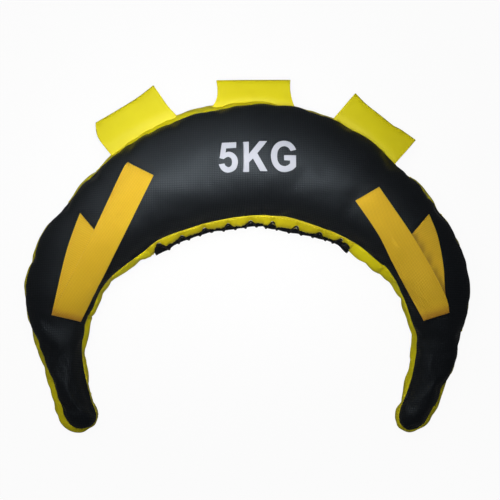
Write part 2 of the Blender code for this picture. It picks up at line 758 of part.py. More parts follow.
def folded_loop(name, gusset, spot, lean, length, stretch):
    """A sheet folded to a flat loop, sewn to the outer gusset along its two edges."""
    turn = math.radians(lean)
    out = Vector((-math.sin(turn), math.cos(turn), 0.0))
    along = Vector((out.y, -out.x, 0.0))
    columns = 8
    middle_height = spot.z
    far = spot + out * stretch

    def seat(place):
        start = far + along * place + out * OVERRUN
        hit, _, _, _ = gusset.ray_cast(start, -out)
        return hit

    base = seat(0.0)
    verts = []
    profile_shares = (0.0, 0.22, 0.5, 0.8, 1.0)
    opening_shares = (0.0, 0.55, 1.0, 0.75, 0.0)
    section = 0
    for k in range(columns + 1):
        place = length * (k / columns - 0.5)
        root = seat(place) + out * LOOP_SEAT
        root.z = middle_height
        end = far + along * place
        reach = (end - root).dot(out)
        inner = [(LOOP_SEAM + (reach - LOOP_SEAM - LOOP_WALL) * p, LOOP_OPENING / 2 * o)
                 for p, o in zip(profile_shares, opening_shares)]
        ring_in = inner + [(r, -h) for r, h in inner[-2:0:-1]]
        outer = [(0.0, LOOP_WALL)] + [(r, h + LOOP_WALL) for r, h in inner[:-1]] + [(reach, LOOP_WALL * 0.6)]
        ring_out = outer + [(r, -h) for r, h in reversed(outer)]
        section = len(ring_out) + len(ring_in)
        verts += [root + out * r + UP * h for r, h in ring_out]
        verts += [root + out * r + UP * h for r, h in ring_in]
    n_out = len(ring_out)
    n_in = len(ring_in)
    faces = []
    for k in range(columns):
        a, b = k * section, (k + 1) * section
        for j in range(n_out):
            m = (j + 1) % n_out
            faces.append((a + j, a + m, b + m, b + j))
        for j in range(n_in):
            m = (j + 1) % n_in
            faces.append((a + n_out + j, b + n_out + j, b + n_out + m, a + n_out + m))
    for a in (0, columns * section):
        faces += end_faces(a, n_out, n_in)
    made = add_object(f"top_loop_{name}", verts, faces, finish("yellow_leatherette", YELLOW, 0.45))
    pivot = bpy.data.objects.new(f"top_loop_{name}_pivot", None)
    pivot.location = Vector((base.x, base.y, middle_height))
    bpy.context.scene.collection.objects.link(pivot)
    made.parent = pivot
    made.matrix_parent_inverse.translation = -pivot.location
    print(name, "loop hinge at", [round(v, 5) for v in pivot.location], "axis", [round(v, 4) for v in along])
    return made


def end_faces(start, n_out, n_in):
    """The ring-shaped end of a folded loop, between its outside and its opening."""
    half_in = n_in // 2
    half_out = n_out // 2
    faces = []
    inside = start + n_out
    for j in range(half_in):
        upper_out = (start + j + 1, start + j + 2)
        upper_in = (inside + j, inside + j + 1)
        faces.append((upper_out[0], upper_out[1], upper_in[1], upper_in[0]))
        lower_out = (start + n_out - 2 - j, start + n_out - 3 - j)
        lower_in = (inside + (n_in - j) % n_in, inside + n_in - j - 1)
        faces.append((lower_out[0], lower_out[1], lower_in[1], lower_in[0]))
    faces.append((start, start + 1, inside, start + n_out - 2, start + n_out - 1))
    faces.append((start + half_out - 1, start + half_out, inside + half_in))
    return faces


def filling(rings):
    """Three sand pouches in a row between a lower and an upper wadding."""
    shares = [FILL_WIDTH_SHARE * k / 3 for k in range(-3, 4)]
    body = rings[TIP_RINGS - 1 : len(rings) - TIP_RINGS + 1]

    def bed(ring):
        return WALL + GAP + ring.depth * WADDING_SHARE

    def roof(ring, a):
        return ring.top(a) - WALL - FILL_CLEARANCE

    def cover(ring, a):
        return roof(ring, a) - ring.depth * WADDING_SHARE

    def layer(name, cuts, low, high, material):
        outer = [[r.plan(a) + UP * high(r, a) for a in shares] for r in cuts]
        inner = [[r.plan(a) + UP * low(r, a) for a in shares] for r in cuts]
        slab(name, outer, inner, material)

    wadding = finish("wadding", WHITE, 0.9)
    sand = finish("sand_pouch", SAND, 0.7)
    layer("wadding_lower", body, lambda ring, a: WALL + GAP, lambda ring, a: bed(ring), wadding)
    layer("wadding_upper", body, cover, roof, wadding)
    third = len(body) // 3
    groups = {
        "left": body[1 : third + 1],
        "centre": body[third + 1 : len(body) - third - 1],
        "right": body[len(body) - third - 1 : -1],
    }
    for name, cuts in groups.items():
        layer(
            f"sand_pouch_{name}",
            cuts,
            lambda ring, a: bed(ring) + GAP,
            lambda ring, a: cover(ring, a) - GAP,
            sand,
        )


def centre_on_floor():
    """Moves the whole bag so that its box stands centred on the origin."""
    bpy.context.view_layer.update()
    graph = bpy.context.evaluated_depsgraph_get()
    spots = []
    for item in bpy.context.scene.objects:
        if item.type not in {"MESH", "CURVE"} or item.hide_render:
            continue
        shape = item.evaluated_get(graph)
        spots += [shape.matrix_world @ corner.co for corner in shape.to_mesh().vertices]
        shape.to_mesh_clear()
    low = Vector([min(spot[i] for spot in spots) for i in range(3)])
    high = Vector([max(spot[i] for spot in spots) for i in range(3)])
    shift = Vector((-(low.x + high.x) / 2, -(low.y + high.y) / 2, 0.0))
    for item in bpy.context.scene.objects:
        if item.parent is None:
            item.location += shift
    print("shift", [round(v, 5) for v in shift], "size", [round(v, 4) for v in high - low])


def build():
    clear_scene()
    spine = trace_spine()
    rings = make_rings(spine)
    edges = make_outline(rings)
    yellow = finish("yellow_leatherette", YELLOW, 0.45)

    front = front_panel(rings, edges)
    back_panel(rings, edges)

    side = inner_side(edges, rings)
    start, end = lacing(side, placket_middle(rings))
    left = [e for e in side if e.run < start]
    left.append(edge_at(side, start - GAP))
    right = [edge_at(side, end + GAP)] + [e for e in side if e.run > end]
    outer = edges[: len(rings)]
    path = list(reversed(left)) + outer + list(reversed(right))
    gusset = gusset_strip("side_gusset", path, (0.0, 0.25, 0.5, 0.75, 1.0), yellow)

    surface = Surface(front)
    slits = []
    for name, shares in GRIP_SHARES.items():
        slits += grip(name, surface, shares)
    cut(front, "grip_slits", slits)

    gusset_mesh = gusset.data
    gusset_mesh.calc_loop_triangles()
    tree = BVHTree.FromPolygons(
        [v.co.copy() for v in gusset_mesh.vertices], [t.vertices[:] for t in gusset_mesh.loop_triangles]
    )
    for name, (x, y, lean, reach, length) in LOOP_SHARES.items():
        spot = Vector((x * BAG_WIDTH, y * BAG_HEIGHT, 0.0))
        near = min(outer, key=lambda edge: (edge.spot - spot).length)
        spot.z = (near.front_seam + near.back_seam) / 2
        folded_loop(name, tree, spot, lean, length * LOOP_LENGTH, reach * LOOP_REACH)

    filling(rings)
    centre_on_floor()


build()
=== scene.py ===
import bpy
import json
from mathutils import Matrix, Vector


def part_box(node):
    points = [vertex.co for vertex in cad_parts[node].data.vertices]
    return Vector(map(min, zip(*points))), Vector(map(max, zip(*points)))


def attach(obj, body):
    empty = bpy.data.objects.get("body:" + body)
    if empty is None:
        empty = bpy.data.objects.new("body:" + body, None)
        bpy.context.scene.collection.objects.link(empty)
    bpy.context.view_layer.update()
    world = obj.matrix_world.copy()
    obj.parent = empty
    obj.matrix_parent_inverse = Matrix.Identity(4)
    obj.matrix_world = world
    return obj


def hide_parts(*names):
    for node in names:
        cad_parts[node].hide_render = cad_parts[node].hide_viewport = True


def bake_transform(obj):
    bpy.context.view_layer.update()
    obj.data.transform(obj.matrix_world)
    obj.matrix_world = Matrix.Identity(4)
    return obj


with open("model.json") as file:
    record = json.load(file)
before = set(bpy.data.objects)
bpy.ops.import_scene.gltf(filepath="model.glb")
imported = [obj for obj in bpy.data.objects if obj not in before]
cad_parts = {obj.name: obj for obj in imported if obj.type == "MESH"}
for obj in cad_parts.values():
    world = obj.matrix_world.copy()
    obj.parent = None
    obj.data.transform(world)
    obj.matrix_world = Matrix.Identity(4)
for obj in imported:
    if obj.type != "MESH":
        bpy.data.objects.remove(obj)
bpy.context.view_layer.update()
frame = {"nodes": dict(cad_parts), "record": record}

import json
import math

import bmesh
import bpy
import numpy as np
from mathutils import Vector, noise
from mathutils.bvhtree import BVHTree

MM = 0.001

# Camera
# The bag lies on its back and is seen from straight above, 3 m over the height at which
# its outline was measured.
VIEW_CENTRE = Vector((3.4 * MM, 10.7 * MM, 62 * MM))
VIEW_DISTANCE = 3.0
VIEW_WIDTH = 655 * MM
camera_data = bpy.data.cameras.new("camera")
camera_data.sensor_width = 36.0
camera_data.lens = camera_data.sensor_width * VIEW_DISTANCE / VIEW_WIDTH
camera_data.clip_end = 20.0
camera = bpy.data.objects.new("camera", camera_data)
camera.location = VIEW_CENTRE + Vector((0.0, 0.0, VIEW_DISTANCE))
bpy.context.scene.collection.objects.link(camera)
bpy.context.scene.camera = camera
bpy.context.scene.view_settings.view_transform = "Standard"

# Floor and light
# A white sheet that keeps a faint shadow, two small soft boxes with grids over the arch,
# a wide one overhead, one at the upper left for the sheen, and a dim room.
sheet_white = bpy.data.materials.new("floor_white")
sheet_white.use_nodes = True
nodes, links = sheet_white.node_tree.nodes, sheet_white.node_tree.links
nodes["Principled BSDF"].inputs["Roughness"].default_value = 0.9
glow = nodes.new("ShaderNodeEmission")
glow.inputs["Strength"].default_value = 1.0
path = nodes.new("ShaderNodeLightPath")
seen = nodes.new("ShaderNodeMath")
seen.operation = "MAXIMUM"
links.new(path.outputs["Is Camera Ray"], seen.inputs[0])
links.new(path.outputs["Is Transmission Ray"], seen.inputs[1])
share = nodes.new("ShaderNodeMath")
share.operation = "MULTIPLY"
share.inputs[1].default_value = 0.94
links.new(seen.outputs[0], share.inputs[0])
shade = nodes.new("ShaderNodeMapRange")
shade.inputs["To Min"].default_value = 0.2
shade.inputs["To Max"].default_value = 0.9
links.new(seen.outputs[0], shade.inputs["Value"])
links.new(shade.outputs[0], nodes["Principled BSDF"].inputs["Base Color"])
mix = nodes.new("ShaderNodeMixShader")
links.new(share.outputs[0], mix.inputs["Fac"])
links.new(nodes["Principled BSDF"].outputs[0], mix.inputs[1])
links.new(glow.outputs[0], mix.inputs[2])
links.new(mix.outputs[0], nodes["Material Output"].inputs["Surface"])
FLOOR_HALF = 4.0
mesh = bpy.data.meshes.new("floor")
mesh.from_pydata(
    [(-FLOOR_HALF, -FLOOR_HALF, 0), (FLOOR_HALF, -FLOOR_HALF, 0), (FLOOR_HALF, FLOOR_HALF, 0), (-FLOOR_HALF, FLOOR_HALF, 0)],
    [], [(0, 1, 2, 3)],
)
mesh.materials.append(sheet_white)
floor = bpy.data.objects.new("floor", mesh)
bpy.context.scene.collection.objects.link(floor)

for name, spot, aim, size, power, spread, diffuse, glossy in (
    ("key_light", (-0.075, 0.095, 0.62), (-0.075, 0.096, 0.0), 0.32, 0.305, 50.0, True, True),
    ("side_light", (0.075, 0.035, 0.62), (0.075, 0.036, 0.0), 0.22, 0.06, 40.0, True, True),
    ("fill_light", (-0.20, 0.50, 2.40), (0.0, 0.0, 0.0), 1.8, 8.8, 90.0, True, False),
    ("sheen_light", (-1.10, 1.60, 1.60), (0.0, 0.0, 0.0), 1.3, 9.0, 180.0, False, True),
):
    lamp = bpy.data.lights.new(name, "AREA")
    lamp.size = size
    lamp.energy = power
    lamp.spread = math.radians(spread)
    lamp_object = bpy.data.objects.new(name, lamp)
    lamp_object.location = spot
    lamp_object.rotation_euler = (Vector(aim) - Vector(spot)).to_track_quat("-Z", "Y").to_euler()
    lamp_object.visible_camera = False
    lamp_object.visible_diffuse = diffuse
    lamp_object.visible_glossy = glossy
    bpy.context.scene.collection.objects.link(lamp_object)

room = bpy.data.worlds.new("room")
bpy.context.scene.world = room
room.use_nodes = True
nodes, links = room.node_tree.nodes, room.node_tree.links
pale = nodes["Background"]
pale.inputs["Color"].default_value = (0.92, 0.95, 1.0, 1.0)
pale.inputs["Strength"].default_value = 0.075
white = nodes.new("ShaderNodeBackground")
white.inputs["Color"].default_value = (1.0, 1.0, 1.0, 1.0)
white.inputs["Strength"].default_value = 1.0
path = nodes.new("ShaderNodeLightPath")
mix = nodes.new("ShaderNodeMixShader")
links.new(path.outputs["Is Camera Ray"], mix.inputs["Fac"])
links.new(pale.outputs[0], mix.inputs[1])
links.new(white.outputs[0], mix.inputs[2])
links.new(mix.outputs[0], nodes["World Output"].inputs["Surface"])

# Shell of the bag
# Two horseshoe panels of leatherette and the gusset between them, sewn into one stuffed
# skin. The middle line, the widths and the bulges are those of the CAD skins; the skin
# is divided finely, blown up a little as stuffed cloth and then cut into its panels.
BAG_WIDTH = 585 * MM
BAG_HEIGHT = 462 * MM
PANEL_WIDTH = 145 * MM
TIP_LENGTH = 28 * MM
CROWN_DEPTH = 105 * MM
TIP_DEPTH = 50 * MM
FRONT_SEAM_SHARE = 0.60
BACK_SEAM_SHARE = 0.15
CROWN_POWER = 0.60
CROWN_LEAN = 0.14
FLAT_SHARE = 0.78
OUTER_BULGE = 10 * MM
INNER_BULGE = 15 * MM
TIP_BULGE = 8 * MM
BAG_SHIFT = Vector((-0.85 * MM, 2.68 * MM, 0.0))
RING_STEP = 5.5 * MM
TIP_RINGS = 9
UP = Vector((0.0, 0.0, 1.0))
STATION_SHARES = (
    (-0.378, -0.430, 0.30, 0.80, 0.22), (-0.407, -0.300, 0.32, 0.75, 0.25),
    (-0.419, -0.233, 0.41, 0.65, 0.28), (-0.427, -0.162, 0.52, 0.55, 0.30),
    (-0.417, -0.110, 0.63, 0.50, 0.30), (-0.401, -0.055, 0.69, 0.50, 0.30),
    (-0.380, 0.000, 0.74, 0.50, 0.30), (-0.344, 0.056, 0.78, 0.50, 0.36),
    (-0.289, 0.125, 0.84, 0.55, 0.60), (-0.193, 0.203, 0.91, 0.85, 0.95),
    (-0.051, 0.264, 0.98, 1.00, 1.00), (0.012, 0.275, 1.00, 0.90, 1.00),
    (0.077, 0.268, 0.98, 0.75, 1.00), (0.208, 0.213, 0.90, 0.50, 0.90),
    (0.271, 0.165, 0.82, 0.45, 0.75), (0.360, 0.064, 0.74, 0.40, 0.50),
    (0.392, 0.006, 0.67, 0.40, 0.35), (0.423, -0.090, 0.61, 0.45, 0.30),
    (0.429, -0.183, 0.49, 0.45, 0.32), (0.427, -0.251, 0.38, 0.45, 0.35),
    (0.415, -0.320, 0.33, 0.50, 0.35), (0.377, -0.438, 0.27, 0.75, 0.25),
)


def between(values, t):
    """A smooth curve through rows of numbers, read at t rows from the first."""
    last = len(values) - 1
    i = min(max(int(math.floor(t)), 0), last - 1)
    f = t - i
    a, b, c, d = (np.array(values[min(max(i + k, 0), last)]) for k in (-1, 0, 1, 2))
    return (
        b * (2 * f**3 - 3 * f**2 + 1) + (c - a) / 2 * (f**3 - 2 * f**2 + f)
        + c * (3 * f**2 - 2 * f**3) + (d - b) / 2 * (f**3 - f**2)
    )


spine = []
length = 0.0
for k in range((len(STATION_SHARES) - 1) * 12 + 1):
    x, y, width, outer, inner = between(STATION_SHARES, k / 12)
    spot = Vector((x * BAG_WIDTH, y * BAG_HEIGHT, 0.0)) + BAG_SHIFT
    length += (spot - spine[-1][1]).length if spine else 0.0
    spine.append((length, spot, width, outer, inner))


class Ring:
    """A cut across the bag: its middle, half width, seams, crown and bulges."""

    def __init__(self, run, shrink=1.0, past=0.0):
        last = len(spine) - 1
        i = 0
        while i < last - 1 and spine[i + 1][0] < run:
            i += 1
        f = min(max((run - spine[i][0]) / (spine[i + 1][0] - spine[i][0]), 0.0), 1.0)
        low, high = spine[i], spine[i + 1]
        directions = []
        for j in (i, i + 1):
            directions.append((spine[min(j + 2, last)][1] - spine[max(j - 2, 0)][1]).normalized())
        self.along = directions[0].lerp(directions[1], f).normalized()
        self.side = Vector((-self.along.y, self.along.x, 0.0))
        self.middle = low[1].lerp(high[1], f) + self.along * past
        share = low[2] + (high[2] - low[2]) * f
        tip_share = min(STATION_SHARES[0][2], STATION_SHARES[-1][2])
        depth = TIP_DEPTH + (CROWN_DEPTH - TIP_DEPTH) * (share - tip_share) / (1.0 - tip_share)
        self.half = PANEL_WIDTH * share / 2 * shrink
        self.front_seam = depth * FRONT_SEAM_SHARE
        self.back_seam = depth * BACK_SEAM_SHARE
        self.crown = (depth - self.front_seam) * shrink**0.8
        outer = (low[3] + (high[3] - low[3]) * f) * OUTER_BULGE
        inner = (low[4] + (high[4] - low[4]) * f) * INNER_BULGE
        self.outer_bulge = TIP_BULGE + (outer - TIP_BULGE) * shrink
        self.inner_bulge = TIP_BULGE + (inner - TIP_BULGE) * shrink
        self.run = run + past

    def plan(self, across):
        return self.middle + self.side * (self.half * across)

    def top(self, across):
        leaning = across + CROWN_LEAN * (1.0 - across * across)
        return self.front_seam + self.crown * max(1.0 - leaning * leaning, 0.0) ** CROWN_POWER

    def bottom(self, across):
        lift = max(abs(across) - FLAT_SHARE, 0.0) / (1.0 - FLAT_SHARE)
        return self.back_seam * lift * lift


ring_count = round(length / RING_STEP)
rings = [Ring(length * k / ring_count) for k in range(ring_count + 1)]
for k in range(1, TIP_RINGS + 1):
    turn = math.radians(84.0) * k / TIP_RINGS
    rings.insert(0, Ring(0.0, math.cos(turn), -TIP_LENGTH * math.sin(turn)))
    rings.append(Ring(length, math.cos(turn), TIP_LENGTH * math.sin(turn)))

FRONT_COLUMNS = 26
BACK_COLUMNS = 14
GUSSET_ROWS = 10
front_shares = [math.sin(math.pi / 2 * (2 * k / FRONT_COLUMNS - 1)) for k in range(FRONT_COLUMNS + 1)]
back_shares = [math.sin(math.pi / 2 * (1 - 2 * k / BACK_COLUMNS)) for k in range(BACK_COLUMNS + 1)]
# how the stuffed bag lies: at even steps from tip to tip, how far each seam is outside its
# drawn line and how far the gusset stands out from the seam, in millimetres
SEAM_FIT = {
    "outer": (
        1.5, 2.1, 1.0, 1.7, 2.2, 2.9, 1.4, -0.1, 0.2, 1.5, -0.3, -1.1, -1.2, -2.7, -3.8, -3.1, -2.1, -0.8, 0.3, 1.2, 1.6, 1.7, 0.1, -2.5, -1.2,
        -1.8, 1.4, 2.1, 3.1, 0.4, -0.7, -2.8, -1.5, 0.1, -1.3, -2.4, 0.4, 1.4, 1.0, 0.7, 1.2, 0.4, 2.4, 1.6, 1.1, 3.1, 2.3, 1.1, 0.8,
    ),
    "inner": (
        2.1, 2.2, -3.7, -4.7, -3.4, -1.8, -0.5, 1.9, 3.7, 0.3, -2.3, -1.8, -1.8, -0.2, 2.0, 1.7, -1.0, -0.2, 0.7, 1.0, 0.6, 1.1, 2.1, 3.2, 1.8,
        2.2, 1.7, -1.3, -0.8, 0.5, 2.1, 2.7, 0.5, -1.7, -0.9, -0.3, -0.4, -1.3, -0.3, -0.1, -1.1, -3.0, -1.4, -1.6, -3.6, -3.8, -2.9, -1.2, -0.1,
    ),
}
BULGE_FIT = {
    "outer": (
        6.0, 9.0, 11.1, 9.5, 8.6, 7.9, 7.9, 6.1, 4.5, 5.2, 4.4, 3.9, 3.0, 2.6, 2.8, 1.5, 0.6, 2.8, 4.4, 6.6, 7.9, 8.5, 7.5, 5.8, 3.7,
        3.1, 1.0, 1.5, 0.9, 2.1, 2.1, 2.1, 0.5, 0.5, 0.6, 0.5, 0.7, 1.1, 1.0, 1.6, 1.1, 1.8, 2.4, 4.7, 5.3, 6.2, 5.9, 4.4, 3.8,
    ),
    "inner": (
        2.6, 0.8, 0.5, 1.0, 2.8, 3.6, 5.6, 5.8, 5.2, 3.0, 3.1, 3.2, 4.8, 4.6, 5.8, 10.1, 13.1, 11.2, 10.8, 10.4, 10.5, 11.4, 12.9, 11.8, 11.7,
        12.4, 14.2, 16.4, 15.4, 12.3, 10.9, 10.8, 9.5, 14.6, 12.1, 11.9, 9.9, 5.4, 3.6, 2.7, 2.8, 4.9, 6.6, 5.9, 6.5, 5.1, 3.2, 2.5, 3.2,
    ),
}
outline = {}
for side_name, across in (("outer", 1.0), ("inner", -1.0)):
    spots = [ring.plan(across) for ring in rings]
    outs = []
    for i in range(len(spots)):
        ahead = spots[min(i + 1, len(spots) - 1)] - spots[max(i - 1, 0)]
        outs.append(Vector((-ahead.y, ahead.x, 0.0)).normalized() * across)
    outs[0] = (outs[0] - rings[0].along).normalized()
    outs[-1] = (outs[-1] + rings[-1].along).normalized()
    bulges = []
    for i in range(len(spots)):
        t = i / (len(spots) - 1) * (len(SEAM_FIT[side_name]) - 1)
        spots[i] = spots[i] + outs[i] * (float(between(SEAM_FIT[side_name], t)) * MM)
        bulges.append(float(between(BULGE_FIT[side_name], t)) * MM)
    outline[side_name] = (spots, outs, bulges)


def gusset_point(i, side_name, share):
    """The gusset's outer face at ring i: share runs from the front seam to the back seam."""
    ring = rings[i]
    spots, outs, bulges = outline[side_name]
    height = ring.front_seam + (ring.back_seam - ring.front_seam) * share
    return spots[i] + outs[i] * (bulges[i] * math.sin(math.pi * share)) + UP * height


# one closed loop of points for each ring: front panel, outer gusset, back panel, inner gusset
LOOP = FRONT_COLUMNS + GUSSET_ROWS + BACK_COLUMNS + GUSSET_ROWS
FRONT_END = FRONT_COLUMNS
BACK_START = FRONT_COLUMNS + GUSSET_ROWS
BACK_END = BACK_START + BACK_COLUMNS
shell_points = []
for i, ring in enumerate(rings):
    inner_end, outer_end = outline["inner"][0][i], outline["outer"][0][i]
    for share in front_shares:
        shell_points.append(inner_end.lerp(outer_end, (share + 1) / 2) + UP * ring.top(share))
    for k in range(1, GUSSET_ROWS):
        shell_points.append(gusset_point(i, "outer", k / GUSSET_ROWS))
    for share in back_shares:
        shell_points.append(inner_end.lerp(outer_end, (share + 1) / 2) + UP * ring.bottom(share))
    for k in range(GUSSET_ROWS - 1, 0, -1):
        shell_points.append(gusset_point(i, "inner", k / GUSSET_ROWS))
shell_faces = []
face_part = []
for i in range(len(rings) - 1):
    for j in range(LOOP):
        m = (j + 1) % LOOP
        shell_faces.append((i * LOOP + j, (i + 1) * LOOP + j, (i + 1) * LOOP + m, i * LOOP + m))
        if j < FRONT_END:
            face_part.append("front")
        elif j < BACK_START:
            face_part.append("outer")
        elif j < BACK_END:
            face_part.append("back")
        else:
            face_part.append("inner")
for i, flip in ((0, False), (len(rings) - 1, True)):
    base = i * LOOP
    for k in range(GUSSET_ROWS):
        a, b = base + FRONT_END + k, base + FRONT_END + k + 1
        c, d = base + (LOOP - k) % LOOP, base + (LOOP - k - 1) % LOOP
        face = (a, b, d, c)
        shell_faces.append(face[::-1] if flip else face)
        face_part.append("outer")
    for part, columns in (("front", range(FRONT_END + 1)), ("back", range(BACK_START, BACK_END + 1))):
        face = tuple(base + j for j in columns)
        shell_faces.append(face[::-1] if flip else face)
        face_part.append(part)

# distance along the seam on the inside of the arch, which the laced opening follows
inner_run = [0.0]
for a, b in zip(outline["inner"][0], outline["inner"][0][1:]):
    inner_run.append(inner_run[-1] + (b - a).length)


def inner_run_of(spot):
    """The length along the inner seam nearest to a place in the plan."""
    flat = Vector((spot.x, spot.y, 0.0))
    best = (1e9, 0.0)
    line = outline["inner"][0]
    for i in range(len(line) - 1):
        step = line[i + 1] - line[i]
        f = min(max((flat - line[i]).dot(step) / step.length_squared, 0.0), 1.0)
        gap = (line[i] + step * f - flat).length
        best = min(best, (gap, inner_run[i] + step.length * f))
    return best[1]


def centre_of(node):
    low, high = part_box(node)
    return (low + high) / 2


PLACKET_OVERRUN = 15 * MM
eyelet_runs = [inner_run_of(centre_of(f"eyelet_front_{k}")) for k in range(1, 10)]
placket_start, placket_end = eyelet_runs[0] - PLACKET_OVERRUN, eyelet_runs[-1] + PLACKET_OVERRUN

# The stuffing pushes the skins out between their seams. The seams, the flat underside and
# the laced opening are held, and no point moves further than SWELL.
SWELL = 4.5 * MM
mesh = bpy.data.meshes.new("shell")
mesh.from_pydata([tuple(p) for p in shell_points], [], shell_faces)
shell = bpy.data.objects.new("shell", mesh)
bpy.context.scene.collection.objects.link(shell)
start_points = np.array([tuple(p) for p in shell_points])
held = np.zeros(len(start_points))
for i in range(len(rings)):
    base = i * LOOP
    for j in (0, FRONT_END, BACK_START, BACK_END):
        held[base + j] = 1.0
    held[base + BACK_START : base + BACK_END + 1] = 1.0
    if placket_start - 12 * MM < inner_run[i] < placket_end + 12 * MM:
        held[base + BACK_END : base + LOOP] = 1.0
    if i in (0, len(rings) - 1):
        held[base : base + LOOP] = 1.0
swollen = start_points.copy()
group = shell.vertex_groups.new(name="held")
for index in np.nonzero(held > 0.5)[0]:
    group.add([int(index)], 1.0, "REPLACE")
cloth = shell.modifiers.new("stuffing", "CLOTH")
settings = cloth.settings
settings.quality = 6
settings.mass = 0.3
settings.tension_stiffness = 12.0
settings.compression_stiffness = 12.0
settings.shear_stiffness = 4.0
settings.bending_stiffness = 0.3
settings.use_pressure = True
settings.uniform_pressure_force = 3.0
settings.vertex_group_mass = "held"
settings.shrink_min = -0.035
settings.effector_weights.gravity = 0.0
cloth.collision_settings.use_collision = False
cloth.point_cache.frame_start = 1
cloth.point_cache.frame_end = 20
for frame_number in range(1, 21):
    bpy.context.scene.frame_set(frame_number)
graph = bpy.context.evaluated_depsgraph_get()
result = shell.evaluated_get(graph)
swollen = np.array([tuple(v.co) for v in result.to_mesh().vertices])
result.to_mesh_clear()
bpy.context.scene.frame_set(1)
shift = swollen - start_points
size = np.linalg.norm(shift, axis=1)
cap = np.minimum(size, SWELL) / np.maximum(size, 1e-9)
swollen = start_points + shift * cap[:, None]
swollen[:, 2] = np.maximum(swollen[:, 2], start_points[:, 2] * 0.3)
bpy.data.objects.remove(shell, do_unlink=True)


def joined(a, b, c, d):
    """A smooth step of a from b to c, times d."""
    f = min(max((a - b) / (c - b), 0.0), 1.0)
    return f * f * (3 - 2 * f) * d


# puckers of the cloth beside the seams, and creases across the right leg
PUCKER = 0.8 * MM
PUCKER_REACH = 15 * MM
LEG_CREASES = ((430, 331, 1.1, 0.0), (432, 346, 1.0, 0.1), (424, 377, 0.5, 0.2), (436, 392, 0.5, 0.0), (77, 396, 0.4, 0.0))


def photo_place(x, y):
    """The place in the plan that a pixel of the 500 px wide photograph shows."""
    scale = VIEW_WIDTH / 500
    return Vector((VIEW_CENTRE.x + (x - 250) * scale, VIEW_CENTRE.y - (y - 250) * scale, 0.0))


arc_length = np.zeros((len(rings), LOOP))
for i in range(len(rings)):
    row = swollen[i * LOOP : (i + 1) * LOOP]
    steps = np.linalg.norm(np.roll(row, -1, axis=0) - row, axis=1)
    arc_length[i, 1:] = np.cumsum(steps)[:-1]
seam_run = {"outer": [0.0], "inner": inner_run}
for a, b in zip(outline["outer"][0], outline["outer"][0][1:]):
    seam_run["outer"].append(seam_run["outer"][-1] + (b - a).length)
normals = np.zeros_like(swollen)
for face in shell_faces:
    p = swollen[list(face)]
    turn = np.cross(p[2] - p[0], p[3 % len(face)] - p[1])
    for index in face:
        normals[index] += turn
normals /= np.maximum(np.linalg.norm(normals, axis=1), 1e-12)[:, None]

skin = swollen.copy()
for i, ring in enumerate(rings):
    crossing = arc_length[i]
    for j in range(LOOP):
        index = i * LOOP + j
        move = 0.0
        if j < FRONT_END:
            side_name, gap = ("inner", crossing[j]) if j < FRONT_COLUMNS / 2 else ("outer", crossing[FRONT_END] - crossing[j])
            run = seam_run[side_name][i]
            wave = noise.noise(Vector((run / (13 * MM), 3.1 if side_name == "inner" else 7.7, 0.0)))
            if 0.0 < gap < PUCKER_REACH:
                move += wave * PUCKER * math.sin(math.pi * min(gap / (6 * MM), 0.5)) * (1 - gap / PUCKER_REACH)
            place = Vector((skin[index][0], skin[index][1], 0.0))
            for x, y, depth, tilt in LEG_CREASES:
                away = place - photo_place(x, y)
                direction = (ring.along + ring.side * tilt).normalized()
                along, across = away.dot(direction), away.dot(Vector((-direction.y, direction.x, 0.0)))
                move += depth * MM * math.exp(-((along / (5 * MM)) ** 2)) * math.exp(-((across / (22 * MM)) ** 2))
            move += 0.5 * MM * noise.noise(Vector(skin[index]) / (45 * MM))
        elif j > FRONT_END and (j < BACK_START or j > BACK_END):
            side_name = "outer" if j < BACK_START else "inner"
            share = (j - FRONT_END) / GUSSET_ROWS if side_name == "outer" else (LOOP - j) / GUSSET_ROWS
            run = seam_run[side_name][i]
            near = math.sin(math.pi * share) ** 0.7
            coarse = noise.noise(Vector((run / (24 * MM), share * 1.2, 5.0 if side_name == "inner" else 9.0)))
            fine = noise.noise(Vector((run / (10 * MM), share * 0.8, 2.0)))
            strength, small = (2.2 * MM, 0.8 * MM) if side_name == "inner" else (0.6 * MM, 0.35 * MM)
            calm = 1.0
            if side_name == "inner":
                calm = joined(abs(run - (placket_start + placket_end) / 2) - (placket_end - placket_start) / 2, -4 * MM, 14 * MM, 1.0)
            move += near * calm * (strength * coarse + small * fine)
        skin[index] += normals[index] * move


def bag_piece(name, parts, material, keep=None, uv=None):
    """The named parts of the skin as one piece."""
    chosen = [f for f, part in zip(shell_faces, face_part) if part in parts and (keep is None or keep(f))]
    order = sorted({index for face in chosen for index in face})
    place = {index: n for n, index in enumerate(order)}
    made = bpy.data.meshes.new(name)
    made.from_pydata([tuple(skin[index]) for index in order], [], [[place[index] for index in face] for face in chosen])
    if uv is not None:
        layer = made.uv_layers.new(name="fabric")
        for loop in made.loops:
            layer.data[loop.index].uv = uv(order[loop.vertex_index], loop.index)
    made.materials.append(material)
    piece = bpy.data.objects.new(name, made)
    bpy.context.scene.collection.objects.link(piece)
    return piece


def applied(piece):
    """The piece with its modifiers made part of its mesh, shaded smooth."""
    graph = bpy.context.evaluated_depsgraph_get()
    made = bpy.data.meshes.new_from_object(piece.evaluated_get(graph), preserve_all_data_layers=True, depsgraph=graph)
    piece.modifiers.clear()
    old = piece.data
    piece.data = made
    bpy.data.meshes.remove(old)
    made.shade_smooth()
    return piece


def walled(piece, wall, levels=1, crease=True):
    """Gives a sheet its thickness inwards and rounds it."""
    solid = piece.modifiers.new("wall", "SOLIDIFY")
    solid.thickness = wall
    solid.offset = -1.0
    solid.use_even_offset = False
    if levels:
        smooth = piece.modifiers.new("smooth", "SUBSURF")
        smooth.levels = levels
        smooth.render_levels = levels
    return applied(piece)

